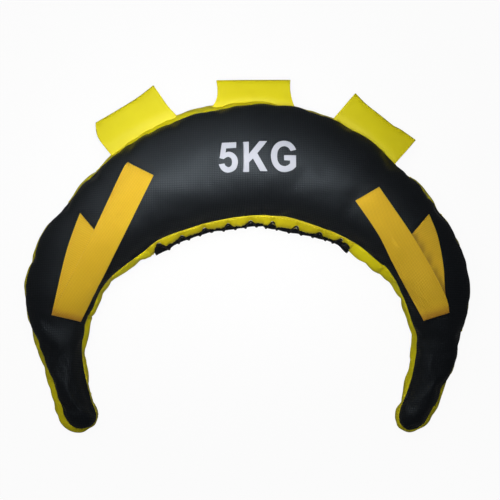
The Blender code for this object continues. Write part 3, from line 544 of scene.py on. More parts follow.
# Back panel
# The underside that the bag lies on: the same black leatherette as the front, flat where
# it rests on the floor.
def surface_group():
    """Fine grain shared by the smooth skins: a height and a mask of slow variation."""
    tree = bpy.data.node_groups.new("leatherette_grain", "ShaderNodeTree")
    tree.interface.new_socket("Place", in_out="INPUT", socket_type="NodeSocketVector")
    size = tree.interface.new_socket("Grain Size", in_out="INPUT", socket_type="NodeSocketFloat")
    size.default_value = 900.0
    tree.interface.new_socket("Height", in_out="OUTPUT", socket_type="NodeSocketFloat")
    tree.interface.new_socket("Cloudy", in_out="OUTPUT", socket_type="NodeSocketFloat")
    start, end = tree.nodes.new("NodeGroupInput"), tree.nodes.new("NodeGroupOutput")
    grain = tree.nodes.new("ShaderNodeTexVoronoi")
    grain.feature = "SMOOTH_F1"
    tree.links.new(start.outputs["Place"], grain.inputs["Vector"])
    tree.links.new(start.outputs["Grain Size"], grain.inputs["Scale"])
    cloudy = tree.nodes.new("ShaderNodeTexNoise")
    cloudy.inputs["Scale"].default_value = 14.0
    cloudy.inputs["Detail"].default_value = 4.0
    tree.links.new(start.outputs["Place"], cloudy.inputs["Vector"])
    tree.links.new(grain.outputs["Distance"], end.inputs["Height"])
    tree.links.new(cloudy.outputs["Fac"], end.inputs["Cloudy"])
    return tree


leatherette_grain = surface_group()


def embossed_grid():
    """Rows of small raised squares: out goes their height, from 0 in the grooves to 1."""
    tree = bpy.data.node_groups.new("embossed_grid", "ShaderNodeTree")
    tree.interface.new_socket("Place", in_out="INPUT", socket_type="NodeSocketVector")
    pitch = tree.interface.new_socket("Pitch", in_out="INPUT", socket_type="NodeSocketFloat")
    pitch.default_value = 3.0 * MM
    tree.interface.new_socket("Height", in_out="OUTPUT", socket_type="NodeSocketFloat")
    start, end = tree.nodes.new("NodeGroupInput"), tree.nodes.new("NodeGroupOutput")
    split = tree.nodes.new("ShaderNodeSeparateXYZ")
    tree.links.new(start.outputs["Place"], split.inputs[0])
    humps = []
    for axis in ("X", "Y"):
        scaled = tree.nodes.new("ShaderNodeMath")
        scaled.operation = "DIVIDE"
        tree.links.new(split.outputs[axis], scaled.inputs[0])
        tree.links.new(start.outputs["Pitch"], scaled.inputs[1])
        turn = tree.nodes.new("ShaderNodeMath")
        turn.operation = "MULTIPLY"
        turn.inputs[1].default_value = math.pi
        tree.links.new(scaled.outputs[0], turn.inputs[0])
        wave = tree.nodes.new("ShaderNodeMath")
        wave.operation = "SINE"
        tree.links.new(turn.outputs[0], wave.inputs[0])
        full = tree.nodes.new("ShaderNodeMath")
        full.operation = "ABSOLUTE"
        tree.links.new(wave.outputs[0], full.inputs[0])
        humps.append(full)
    both = tree.nodes.new("ShaderNodeMath")
    both.operation = "MULTIPLY"
    tree.links.new(humps[0].outputs[0], both.inputs[0])
    tree.links.new(humps[1].outputs[0], both.inputs[1])
    flat = tree.nodes.new("ShaderNodeMath")
    flat.operation = "POWER"
    flat.inputs[1].default_value = 0.6
    tree.links.new(both.outputs[0], flat.inputs[0])
    tree.links.new(flat.outputs[0], end.inputs["Height"])
    return tree


grid_group = embossed_grid()


def leatherette(name, colour, shade, roughness, uv_name=None, emboss=0.0, grain=0.25, shine=0.5):
    """Coated cloth: a colour with slow variation, fine grain, and an embossed grid if asked."""
    made = bpy.data.materials.new(name)
    made.use_nodes = True
    nodes, links = made.node_tree.nodes, made.node_tree.links
    shader = nodes["Principled BSDF"]
    shader.inputs["Specular IOR Level"].default_value = shine
    shader.inputs["Specular Tint"].default_value = (0.78, 0.90, 1.0, 1.0)
    place = nodes.new("ShaderNodeTexCoord")
    skin_grain = nodes.new("ShaderNodeGroup")
    skin_grain.node_tree = leatherette_grain
    links.new(place.outputs["Object"], skin_grain.inputs["Place"])
    ramp = nodes.new("ShaderNodeMapRange")
    ramp.inputs["From Min"].default_value = 0.35
    ramp.inputs["From Max"].default_value = 0.65
    links.new(skin_grain.outputs["Cloudy"], ramp.inputs["Value"])
    tint = nodes.new("ShaderNodeMix")
    tint.data_type = "RGBA"
    tint.inputs[6].default_value = (*shade, 1.0)
    tint.inputs[7].default_value = (*colour, 1.0)
    links.new(ramp.outputs[0], tint.inputs["Factor"])
    links.new(tint.outputs[2], shader.inputs["Base Color"])
    gloss = nodes.new("ShaderNodeMapRange")
    gloss.inputs["To Min"].default_value = roughness + 0.05
    gloss.inputs["To Max"].default_value = roughness - 0.04
    links.new(ramp.outputs[0], gloss.inputs["Value"])
    links.new(gloss.outputs[0], shader.inputs["Roughness"])
    fine = nodes.new("ShaderNodeBump")
    fine.inputs["Strength"].default_value = grain
    fine.inputs["Distance"].default_value = 0.15 * MM
    links.new(skin_grain.outputs["Height"], fine.inputs["Height"])
    links.new(fine.outputs[0], shader.inputs["Normal"])
    if emboss:
        pattern = nodes.new("ShaderNodeGroup")
        pattern.node_tree = grid_group
        unrolled = nodes.new("ShaderNodeUVMap")
        unrolled.uv_map = uv_name
        links.new(unrolled.outputs[0], pattern.inputs["Place"])
        raised = nodes.new("ShaderNodeBump")
        raised.inputs["Strength"].default_value = emboss
        raised.inputs["Distance"].default_value = 0.40 * MM
        links.new(pattern.outputs["Height"], raised.inputs["Height"])
        links.new(raised.outputs[0], fine.inputs["Normal"])
        duller = nodes.new("ShaderNodeMapRange")
        duller.inputs["From Max"].default_value = 0.9
        duller.inputs["To Min"].default_value = 0.32
        duller.inputs["To Max"].default_value = -0.03
        links.new(pattern.outputs["Height"], duller.inputs["Value"])
        total = nodes.new("ShaderNodeMath")
        total.operation = "ADD"
        links.new(gloss.outputs[0], total.inputs[0])
        links.new(duller.outputs[0], total.inputs[1])
        links.new(total.outputs[0], shader.inputs["Roughness"])
    return made


black_skin = leatherette("black_leatherette", (0.0034, 0.0037, 0.0046), (0.0027, 0.0030, 0.0037), 0.41, "fabric", 0.70, shine=0.62)
SKIN_WALL = 1.4 * MM


def unrolled_place(index, loop_index):
    """The point of the flat cloth that lies here: the plan, but measured along the crown."""
    i, j = divmod(index, LOOP)
    ring = rings[i]
    crossing = arc_length[i]
    if j <= FRONT_END:
        away = crossing[j] - crossing[FRONT_COLUMNS // 2]
    else:
        away = crossing[BACK_START + BACK_COLUMNS // 2] - crossing[j]
    spot = ring.middle + ring.side * away
    return (spot.x, spot.y)


back_panel = bag_piece("back_skin", ("back",), black_skin, uv=unrolled_place)
walled(back_panel, SKIN_WALL)
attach(back_panel, "bag")
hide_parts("back_panel")

# Side gusset
# One long yellow strip sewn between the panels, round both tips and the outside of the
# arch. It puckers where the stuffing pulls at the seams.
yellow_skin = leatherette("yellow_leatherette", (0.79, 0.70, 0.010), (0.73, 0.63, 0.008), 0.42, grain=0.12, shine=0.14)


def outside_placket(face):
    runs = []
    for index in face:
        i, j = divmod(index, LOOP)
        if j < BACK_END and j != 0:
            return True
        runs.append(inner_run[i])
    return max(runs) <= placket_first or min(runs) >= placket_last


placket_first = max(run for run in inner_run if run <= placket_start)
placket_last = min(run for run in inner_run if run >= placket_end)
side_gusset = bag_piece("gusset_skin", ("outer", "inner"), yellow_skin, keep=outside_placket)
walled(side_gusset, SKIN_WALL)
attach(side_gusset, "bag")
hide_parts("side_gusset")

# Front panel
# The embossed panel that shows, crowned by the filling.
front_panel = bag_piece("front_skin", ("front",), black_skin, uv=unrolled_place)
walled(front_panel, SKIN_WALL)
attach(front_panel, "bag")
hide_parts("front_panel")

# Laced opening
# On the inside of the arch the gusset is split into two yellow flaps. A black tongue
# behind them keeps the filling in, and a cord through nickel eyelets draws them together.
FLAP_SHARE = 0.40
EYELET_PLACE = 0.254
FLAP_STEP = 1.7 * MM
FLAP_TUCK = 1.4 * MM
FLAP_ROWS = 12


class Inside:
    """The inner gusset at one running length: its seam, the way out, its bulge and heights."""

    def __init__(self, run):
        i = max(k for k in range(len(inner_run) - 1) if inner_run[k] <= max(run, 0.0))
        f = (run - inner_run[i]) / (inner_run[i + 1] - inner_run[i])
        spots, outs, bulges = outline["inner"]
        low, high = rings[i], rings[i + 1]
        self.spot = spots[i].lerp(spots[i + 1], f)
        self.out = outs[i].lerp(outs[i + 1], f).normalized()
        self.bulge = bulges[i] + (bulges[i + 1] - bulges[i]) * f
        self.front = low.front_seam + (high.front_seam - low.front_seam) * f
        self.back = low.back_seam + (high.back_seam - low.back_seam) * f

    def at(self, share, more=0.0):
        reach = self.bulge * math.sin(math.pi * share) + more
        return self.spot + self.out * reach + UP * (self.front + (self.back - self.front) * share)


back_runs = [inner_run_of(centre_of(f"eyelet_back_{k}")) for k in range(1, 9)]


def flap_point(run, v, runs):
    """A flap's outer face: v runs from its seam to its lip, which the cord draws in."""
    near = min(abs(run - eyelet) for eyelet in runs)
    pinch = math.exp(-((near / (4.5 * MM)) ** 2))
    edge = min(run - placket_first - 3 * MM, placket_last + 4 * MM - run)
    ends = 1.0 - joined(edge, 0.0, 5 * MM, 1.0)
    drawn = FLAP_SHARE - 0.045 * pinch
    bare = math.exp(-(((run - placket_first - 13 * MM) / (9 * MM)) ** 2))
    bare += 0.8 * math.exp(-(((run - placket_last + 4 * MM) / (6 * MM)) ** 2))
    drawn -= 0.17 * bare
    lip = drawn + (0.485 - drawn) * ends
    more = (1.0 - ends) * (v * v * (-1.4 * MM - 1.4 * MM * pinch) + math.sin(math.pi * v) * (1.8 - 2.8 * pinch) * MM)
    pleat = noise.noise(Vector((run / (7 * MM), v * 0.7, 4.0 if runs is back_runs else 1.0)))
    more += pleat * 2.0 * MM * math.sin(math.pi * min(v, 0.6) / 1.2)
    more -= FLAP_TUCK * (1.0 - joined(edge, 0.0, 5 * MM, 1.0)) + 2.0 * MM * bare * v * v
    share = lip * v
    return Inside(run).at(share if runs is eyelet_runs else 1.0 - share, more)


def grid_piece(name, rows, material, closed=False):
    """A sheet through rows of points, facing the side from which they run anticlockwise."""
    points = [tuple(p) for row in rows for p in row]
    n = len(rows[0])
    faces = []
    for r in range(len(rows) - 1):
        for c in range(n if closed else n - 1):
            m = (c + 1) % n
            faces.append((r * n + c, r * n + m, (r + 1) * n + m, (r + 1) * n + c))
    made = bpy.data.meshes.new(name)
    made.from_pydata(points, [], faces)
    made.materials.append(material)
    piece = bpy.data.objects.new(name, made)
    bpy.context.scene.collection.objects.link(piece)
    return piece


# The flaps use a darker, more olive copy of the yellow leatherette: painted shade for the inside of the arch, where the
# flaps face away from the light.
shaded_yellow_skin = leatherette("yellow_leatherette_painted_shade", (0.66, 0.55, 0.010), (0.58, 0.48, 0.008), 0.42, grain=0.12, shine=0.14)
flap_count = round((placket_last - placket_first + 3 * MM) / FLAP_STEP)
flap_runs = [placket_first - 1.5 * MM + (placket_last - placket_first + 3 * MM) * k / flap_count for k in range(flap_count + 1)]
for name, runs, node in (("front_flap", eyelet_runs, "placket_front_flap"), ("back_flap", back_runs, "placket_back_flap")):
    rows = [[flap_point(run, k / FLAP_ROWS, runs) for k in range(FLAP_ROWS + 1)] for run in flap_runs]
    if runs is back_runs:
        rows = rows[::-1]
    flap = grid_piece(name, rows, shaded_yellow_skin)
    walled(flap, SKIN_WALL, levels=0)
    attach(flap, "bag")
    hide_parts(node)

TONGUE_SHARES = (0.14, 0.20, 0.26, 0.32, 0.38, 0.42, 0.46, 0.50, 0.54, 0.58, 0.62, 0.68, 0.74, 0.80, 0.86)


def tongue_point(run, share):
    """The tongue's outer face: tucked behind both flaps, and swelling out between them."""
    side_share = abs(share - 0.5)
    tucked = -3.9 * MM
    open_share = 1.0 - joined(side_share, 0.02, 0.13, 1.0)
    swell = 1.0 * MM * noise.noise(Vector((run / (11 * MM), share * 3.0, 8.0)))
    for full in (eyelet_runs[0] + 9 * MM, placket_last - 5 * MM):
        swell += 2.2 * MM * math.exp(-(((run - full) / (8 * MM)) ** 2))
    return Inside(run).at(share, tucked + open_share * (6.0 * MM + swell))


black_cloth = leatherette("tongue_leatherette", (0.005, 0.005, 0.006), (0.004, 0.004, 0.005), 0.5, grain=0.3, shine=0.3)
rows = [[tongue_point(run, share) for share in TONGUE_SHARES] for run in flap_runs[4:]]
tongue = grid_piece("tongue", rows, black_cloth)
walled(tongue, SKIN_WALL, levels=0)
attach(tongue, "bag")
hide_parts("lacing_tongue")


def plain_material(name, colour, roughness, metallic=0.0, sheen=0.0):
    made = bpy.data.materials.new(name)
    made.use_nodes = True
    shader = made.node_tree.nodes["Principled BSDF"]
    shader.inputs["Base Color"].default_value = (*colour, 1.0)
    shader.inputs["Roughness"].default_value = roughness
    shader.inputs["Metallic"].default_value = metallic
    shader.inputs["Sheen Weight"].default_value = sheen
    return made


def eyelet_seat(run, runs):
    """Middle, facing and way along of the spot on a flap where an eyelet is clenched."""
    v = EYELET_PLACE / (FLAP_SHARE - 0.035)
    middle = flap_point(run, v, runs)
    along = (flap_point(run + 2 * MM, v, runs) - flap_point(run - 2 * MM, v, runs)).normalized()
    rise = (flap_point(run, v + 0.2, runs) - flap_point(run, v - 0.2, runs)).normalized()
    facing = rise.cross(along).normalized()
    if facing.dot(Inside(run).out) < 0:
        facing = -facing
    return middle, facing, along, rise


# Eyelets
# Two-part nickel eyelets, each a barrel with a rolled rim outside and a curled one inside.
nickel = plain_material("nickel", (0.62, 0.60, 0.57), 0.36, 1.0)
EYELET_PROFILE = ((2.0, 0.7), (2.2, 1.0), (2.6, 1.1), (3.1, 0.95), (3.4, 0.5), (3.45, 0.15), (2.6, 0.1), (2.5, -2.0), (3.3, -2.1), (3.1, -2.7), (2.4, -2.6), (2.0, -1.9))
EYELET_SIDES = 28
rows = []
for k in range(EYELET_SIDES + 1):
    turn = 2 * math.pi * k / EYELET_SIDES
    rows.append([Vector((math.cos(turn) * r, math.sin(turn) * r, h)) * MM for r, h in EYELET_PROFILE])
pattern = grid_piece("eyelet_pattern", rows[:-1], nickel, closed=True)
pattern_mesh = pattern.data
n = len(EYELET_PROFILE)
bm = bmesh.new()
bm.from_mesh(pattern_mesh)
bm.verts.ensure_lookup_table()
for c in range(n):
    m = (c + 1) % n
    last = (EYELET_SIDES - 1) * n
    bm.faces.new([bm.verts[i] for i in (last + c, last + m, m, c)])
bmesh.ops.recalc_face_normals(bm, faces=bm.faces)
bm.to_mesh(pattern_mesh)
bm.free()


def scattered(name, points, facings, pattern_object, material, alongs=None):
    """One copy of the pattern at each point, turned to its facing and way along, as one piece."""
    seeds = bpy.data.meshes.new(name)
    seeds.from_pydata([tuple(p) for p in points], [], [])
    way = seeds.attributes.new("facing", "FLOAT_VECTOR", "POINT")
    course = seeds.attributes.new("along", "FLOAT_VECTOR", "POINT")
    for k, facing in enumerate(facings):
        way.data[k].vector = facing
        course.data[k].vector = alongs[k] if alongs else facing.orthogonal()
    piece = bpy.data.objects.new(name, seeds)
    bpy.context.scene.collection.objects.link(piece)
    tree = bpy.data.node_groups.new(name, "GeometryNodeTree")
    tree.interface.new_socket("Geometry", in_out="INPUT", socket_type="NodeSocketGeometry")
    shape = tree.interface.new_socket("Pattern", in_out="INPUT", socket_type="NodeSocketObject")
    look = tree.interface.new_socket("Material", in_out="INPUT", socket_type="NodeSocketMaterial")
    tree.interface.new_socket("Geometry", in_out="OUTPUT", socket_type="NodeSocketGeometry")
    start, end = tree.nodes.new("NodeGroupInput"), tree.nodes.new("NodeGroupOutput")
    source = tree.nodes.new("GeometryNodeObjectInfo")
    facing = tree.nodes.new("GeometryNodeInputNamedAttribute")
    facing.data_type = "FLOAT_VECTOR"
    facing.inputs["Name"].default_value = "facing"
    along = tree.nodes.new("GeometryNodeInputNamedAttribute")
    along.data_type = "FLOAT_VECTOR"
    along.inputs["Name"].default_value = "along"
    raised = tree.nodes.new("FunctionNodeAlignRotationToVector")
    raised.axis = "Z"
    turn = tree.nodes.new("FunctionNodeAlignRotationToVector")
    turn.axis = "X"
    turn.pivot_axis = "Z"
    copies = tree.nodes.new("GeometryNodeInstanceOnPoints")
    real = tree.nodes.new("GeometryNodeRealizeInstances")
    paint = tree.nodes.new("GeometryNodeSetMaterial")
    tree.links.new(start.outputs["Pattern"], source.inputs["Object"])
    tree.links.new(facing.outputs["Attribute"], raised.inputs["Vector"])
    tree.links.new(along.outputs["Attribute"], turn.inputs["Vector"])
    tree.links.new(raised.outputs["Rotation"], turn.inputs["Rotation"])
    tree.links.new(start.outputs["Geometry"], copies.inputs["Points"])
    tree.links.new(source.outputs["Geometry"], copies.inputs["Instance"])
    tree.links.new(turn.outputs["Rotation"], copies.inputs["Rotation"])
    tree.links.new(copies.outputs["Instances"], real.inputs["Geometry"])
    tree.links.new(real.outputs["Geometry"], paint.inputs["Geometry"])
    tree.links.new(start.outputs["Material"], paint.inputs["Material"])
    tree.links.new(paint.outputs["Geometry"], end.inputs["Geometry"])
    modifier = piece.modifiers.new(name, "NODES")
    modifier.node_group = tree
    modifier[shape.identifier] = pattern_object
    modifier[look.identifier] = material
    return applied(piece)


front_seats = [eyelet_seat(run, eyelet_runs) for run in eyelet_runs]
back_seats = [eyelet_seat(run, back_runs) for run in back_runs]
seats = front_seats + back_seats
eyelets = scattered("eyelets", [s[0] for s in seats], [s[1] for s in seats], pattern, nickel)
bpy.data.objects.remove(pattern, do_unlink=True)
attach(eyelets, "bag")
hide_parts(*[f"eyelet_front_{k}" for k in range(1, 10)], *[f"eyelet_back_{k}" for k in range(1, 9)])

# Lace
# One round braided cord that zigzags between the flaps and is knotted past its last eyelet, with two short tails.
CORD_RADIUS = 1.2 * MM


def smooth_path(points, step):
    """A curve through the points, cut into pieces about step long."""
    path = []
    rows = [tuple(p) for p in points]
    for k in range(len(rows) - 1):
        count = max(2, math.ceil((Vector(rows[k + 1]) - Vector(rows[k])).length / step))
        path += [Vector(between(rows, k + m / count)) for m in range(count)]
    return path + [Vector(rows[-1])]


def cord_rows(path, radius, sides=10, closed=False):
    """Rings of points round a path, each turned as little as possible from the last."""
    rows = []
    turned = None
    last = len(path) - 1
    for k, spot in enumerate(path):
        if closed:
            ahead = (path[(k + 1) % len(path)] - path[k - 1]).normalized()
        else:
            ahead = (path[min(k + 1, last)] - path[max(k - 1, 0)]).normalized()
        if turned is None:
            turned = ahead.orthogonal().normalized()
        turned = (turned - ahead * turned.dot(ahead)).normalized()
        other = ahead.cross(turned)
        size = radius
        rows.append([spot + (turned * math.cos(a) + other * math.sin(a)) * size for a in (2 * math.pi * m / sides for m in range(sides))])
    return rows


def cord_piece(name, paths, material, radius):
    """Round cords along these paths as one piece, each closed by rounded ends."""
    points, faces, uvs = [], [], []
    for path in paths:
        rows = cord_rows(path, radius)
        sides = len(rows[0])
        way_in, way_out = (path[0] - path[1]).normalized(), (path[-1] - path[-2]).normalized()
        dome_in = [[path[0] + (p - path[0]) * s + way_in * (radius * o) for p in rows[0]] for s, o in ((0.35, 0.9), (0.8, 0.55))]
        dome_out = [[path[-1] + (p - path[-1]) * s + way_out * (radius * o) for p in rows[-1]] for s, o in ((0.8, 0.55), (0.35, 0.9))]
        rows = dome_in + rows + dome_out
        base = len(points)
        points += [tuple(p) for row in rows for p in row]
        length = 0.0
        for r in range(len(rows) - 1):
            step = (rows[r + 1][0] - rows[r][0]).length
            for c in range(sides):
                m = (c + 1) % sides
                faces.append((base + r * sides + c, base + r * sides + m, base + (r + 1) * sides + m, base + (r + 1) * sides + c))
                uvs.append(((c / sides, length), ((c + 1) / sides, length), ((c + 1) / sides, length + step), (c / sides, length + step)))
            length += step
        faces.append(tuple(base + c for c in reversed(range(sides))))
        uvs.append(((0.0, 0.0),) * sides)
        faces.append(tuple(base + (len(rows) - 1) * sides + c for c in range(sides)))
        uvs.append(((0.0, length),) * sides)
    made = bpy.data.meshes.new(name)
    made.from_pydata(points, [], faces)
    layer = made.uv_layers.new(name="braid")
    flat = [uv for face in uvs for uv in face]
    for k, uv in enumerate(flat):
        layer.data[k].uv = uv
    made.materials.append(material)
    made.shade_smooth()
    piece = bpy.data.objects.new(name, made)
    bpy.context.scene.collection.objects.link(piece)
    return piece


def braided(name, colour):
    """Cord cloth: a dark colour with a raised braid on the braid UV map."""
    made = plain_material(name, colour, 0.6)
    nodes, links = made.node_tree.nodes, made.node_tree.links
    unrolled = nodes.new("ShaderNodeUVMap")
    unrolled.uv_map = "braid"
    stretched = nodes.new("ShaderNodeMapping")
    stretched.inputs["Scale"].default_value = (4.0, 420.0, 1.0)
    braid = nodes.new("ShaderNodeTexChecker")
    braid.inputs["Scale"].default_value = 1.0
    stretched.inputs["Rotation"].default_value = (0.0, 0.0, 0.6)
    raised = nodes.new("ShaderNodeBump")
    raised.inputs["Strength"].default_value = 0.5
    raised.inputs["Distance"].default_value = 0.2 * MM
    links.new(unrolled.outputs[0], stretched.inputs["Vector"])
    links.new(stretched.outputs[0], braid.inputs["Vector"])
    links.new(braid.outputs["Fac"], raised.inputs["Height"])
    links.new(raised.outputs[0], nodes["Principled BSDF"].inputs["Normal"])
    return made


cord_black = braided("black_cord", (0.005, 0.005, 0.006))


def across_gap(run, share):
    """A place of the cord on the tongue, between the lips of the flaps."""
    return tongue_point(run, share) + Inside(run).out * (CORD_RADIUS * 0.3)


route = []
for k, run in enumerate(eyelet_runs):
    middle, facing, along, rise = front_seats[k]
    over = 0.9 * MM + CORD_RADIUS
    if k > 0:
        route.append(across_gap((back_runs[k - 1] + run) / 2, 0.48))
        route.append(middle - along * 4.2 * MM + rise * 3.0 * MM + facing * over)
    route.append(middle - along * 0.7 * MM - rise * 3.4 * MM + facing * over)
    route.append(middle + along * 0.7 * MM - rise * 3.4 * MM + facing * over)
    if k < 8:
        route.append(middle + along * 4.2 * MM + rise * 3.0 * MM + facing * over)
        route.append(across_gap((run + back_runs[k]) / 2, 0.48))
        middle, facing, along, rise = back_seats[k]
        for way in (-1, 1):
            places = [
                middle + along * (4.2 * MM * way) + rise * 3.0 * MM + facing * over,
                middle + along * (1.0 * MM * way) - rise * 3.4 * MM + facing * over,
            ]
            route += places if way < 0 else places[::-1]
first_middle, first_facing, first_along, first_rise = front_seats[0]
route.insert(0, first_middle - first_along * 2.5 * MM + first_rise * 3.0 * MM + first_facing * (0.5 * MM + CORD_RADIUS))
route.insert(0, tongue_point(eyelet_runs[0] + 4 * MM, 0.44) - Inside(eyelet_runs[0]).out * 3.0 * MM)
KNOT_SIZE = 1.6 * MM
knots = []
tails = []
middle, facing, along, rise = front_seats[-1]
centre = middle + along * 9.0 * MM + rise * 3.5 * MM + facing * 4.0 * MM
loop = []
for k in range(49):
    t = 2 * math.pi * k / 48
    x, y, z = math.sin(t) + 2 * math.sin(2 * t), math.cos(t) - 2 * math.cos(2 * t), -math.sin(3 * t)
    loop.append(centre + (along * x + rise * y + facing * z * 1.1) * KNOT_SIZE)
knots.append(loop)
for tilt in (0.2, -0.7):
    start = centre + along * 2.0 * MM
    tip = along * (7.0 * MM * math.cos(tilt)) + rise * (7.0 * MM * math.sin(tilt) + 2 * MM)
    tails.append(smooth_path([start, start + tip * 0.5 + facing * 1.2 * MM, start + tip - facing * 0.5 * MM], 1.0 * MM))
lace = cord_piece("lace", [smooth_path(route, 1.6 * MM)] + knots + tails, cord_black, CORD_RADIUS)
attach(lace, "bag")
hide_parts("lace")

# Webbing grips
# Two straps of amber webbing. Each comes out of a slit in the front panel, runs down the
# leg of the bag, turns back under itself and goes in again at a second, slanted slit.
STRAP_WALL = 1.7 * MM
LEGS = {
    "left": (
        ((128.3, 163), (122.7, 169.5), (94.5, 229.2), (74.0, 270.5), (51.6, 314)), ((153.9, 174.9), (117.5, 248.0), (81.2, 320.7)),
        ((80.3, 212.2), (65.9, 253.3), (51.6, 314)), ((98, 234), (91.5, 270), (81.2, 320.7)),
    ),
    "right": (
        ((354.9, 200.1), (378.3, 234.2), (393.6, 264.8), (408.9, 293.5), (423.2, 319.7)), ((378.8, 186.4), (411.7, 234.2), (429.9, 264.8), (446.2, 297.3), (449.1, 311.7)),
        ((411.1, 234.3), (413.5, 255), (417.5, 285), (423.2, 319.7)), ((428.6, 213.1), (437.6, 236.1), (443.3, 264.8), (445.2, 291.6), (449.1, 311.7)),
    ),
}
panel_mesh = front_panel.data
panel_tree = BVHTree.FromPolygons([v.co.copy() for v in panel_mesh.vertices], [tuple(p.vertices) for p in panel_mesh.polygons])


def seen_on_panel(x, y, rise):
    """The place this far above the panel that a pixel of the photograph shows."""
    way = (photo_place(x, y) + UP * VIEW_CENTRE.z - camera.location).normalized()
    hit, facing, _, _ = panel_tree.ray_cast(camera.location, way)
    if hit is None:
        hit, facing, _, _ = panel_tree.find_nearest(photo_place(x, y) + UP * 60 * MM)
    return hit - way * (rise / max(facing.z, 0.35))


def polyline(points, t):
    """The place a share t of the way along a line of pixels, smoothed at its corners."""
    lengths = [0.0]
    for a, b in zip(points, points[1:]):
        lengths.append(lengths[-1] + math.dist(a, b))
    aim = t * lengths[-1]
    k = max(i for i in range(len(points) - 1) if lengths[i] <= aim + 1e-9)
    f = (aim - lengths[k]) / (lengths[k + 1] - lengths[k])
    return between(points, k + f)


STRAP_ACROSS = (0.0, 0.015, 0.06, 0.18, 0.32, 0.5, 0.68, 0.82, 0.94, 0.985, 1.0)


def strap_row(edge_a, edge_b, t, rise, bow=0.0):
    a, b = polyline(edge_a, t), polyline(edge_b, t)
    row = []
    for f in STRAP_ACROSS:
        p = a + (b - a) * f
        row.append(seen_on_panel(p[0], p[1], rise + bow * math.sin(math.pi * f)))
    return row


def evened(rows, passes):
    """The rows with their heights smoothed along the strap, each still seen at its pixel."""
    heights = np.array([[p.z for p in row] for row in rows])
    for _ in range(passes):
        heights[1:-1] = (heights[:-2] + 2 * heights[1:-1] + heights[2:]) / 4
    made = []
    for row, levels in zip(rows, heights):
        ways = [p - camera.location for p in row]
        made.append([camera.location + way * ((level - camera.location.z) / way.z) for way, level in zip(ways, levels)])
    return made


def webbing_material():
    made = plain_material("webbing", (0.80, 0.53, 0.024), 0.60, 0.0, 0.12)
    nodes, links = made.node_tree.nodes, made.node_tree.links
    unrolled = nodes.new("ShaderNodeUVMap")
    unrolled.uv_map = "weave"
    split = nodes.new("ShaderNodeSeparateXYZ")
    links.new(unrolled.outputs[0], split.inputs[0])

    def maths(operation, a, b=None):
        node = nodes.new("ShaderNodeMath")
        node.operation = operation
        for socket, value in zip(node.inputs, (a, b)):
            if value is None:
                continue
            if isinstance(value, float):
                socket.default_value = value
            else:
                links.new(value, socket)
        return node.outputs[0]

    along = maths("SINE", maths("MULTIPLY", split.outputs["Y"], 2 * math.pi / (2.6 * MM)))
    across = maths("SINE", maths("MULTIPLY", split.outputs["X"], 2 * math.pi / (2.3 * MM)))
    height = maths("MULTIPLY", along, across)
    raised = nodes.new("ShaderNodeBump")
    raised.inputs["Strength"].default_value = 0.8
    raised.inputs["Distance"].default_value = 0.35 * MM
    links.new(height, raised.inputs["Height"])
    links.new(raised.outputs[0], nodes["Principled BSDF"].inputs["Normal"])
    lit = maths("MULTIPLY_ADD", height, 0.5)
    lit.node.inputs[2].default_value = 0.5
    tint = nodes.new("ShaderNodeMix")
    tint.data_type = "RGBA"
    tint.inputs[6].default_value = (0.70, 0.40, 0.006, 1.0)
    tint.inputs[7].default_value = (0.94, 0.60, 0.014, 1.0)
    links.new(lit, tint.inputs["Factor"])
    # The fold UV map carries painted light: its X is the painted shade at the strap's fold, and its Y is the painted
    # shadow of the upper leg's edge.
    folded = nodes.new("ShaderNodeUVMap")
    folded.uv_map = "fold"
    turned = nodes.new("ShaderNodeSeparateXYZ")
    links.new(folded.outputs[0], turned.inputs[0])
    # painted shade: the colour turns a darker orange near the turn of the fold, where the strap lies in shade
    painted_fold_shade = nodes.new("ShaderNodeMix")
    painted_fold_shade.data_type = "RGBA"
    painted_fold_shade.inputs[7].default_value = (0.62, 0.30, 0.010, 1.0)
    links.new(turned.outputs["X"], painted_fold_shade.inputs["Factor"])
    links.new(tint.outputs[2], painted_fold_shade.inputs[6])
    # painted shadow: dark brown on the lower leg beside the upper leg's edge, where the upper leg shades it
    dim = nodes.new("ShaderNodeMix")
    dim.data_type = "RGBA"
    dim.inputs[7].default_value = (0.20, 0.075, 0.004, 1.0)
    links.new(turned.outputs["Y"], dim.inputs["Factor"])
    links.new(painted_fold_shade.outputs[2], dim.inputs[6])
    links.new(dim.outputs[2], nodes["Principled BSDF"].inputs["Base Color"])
    return made


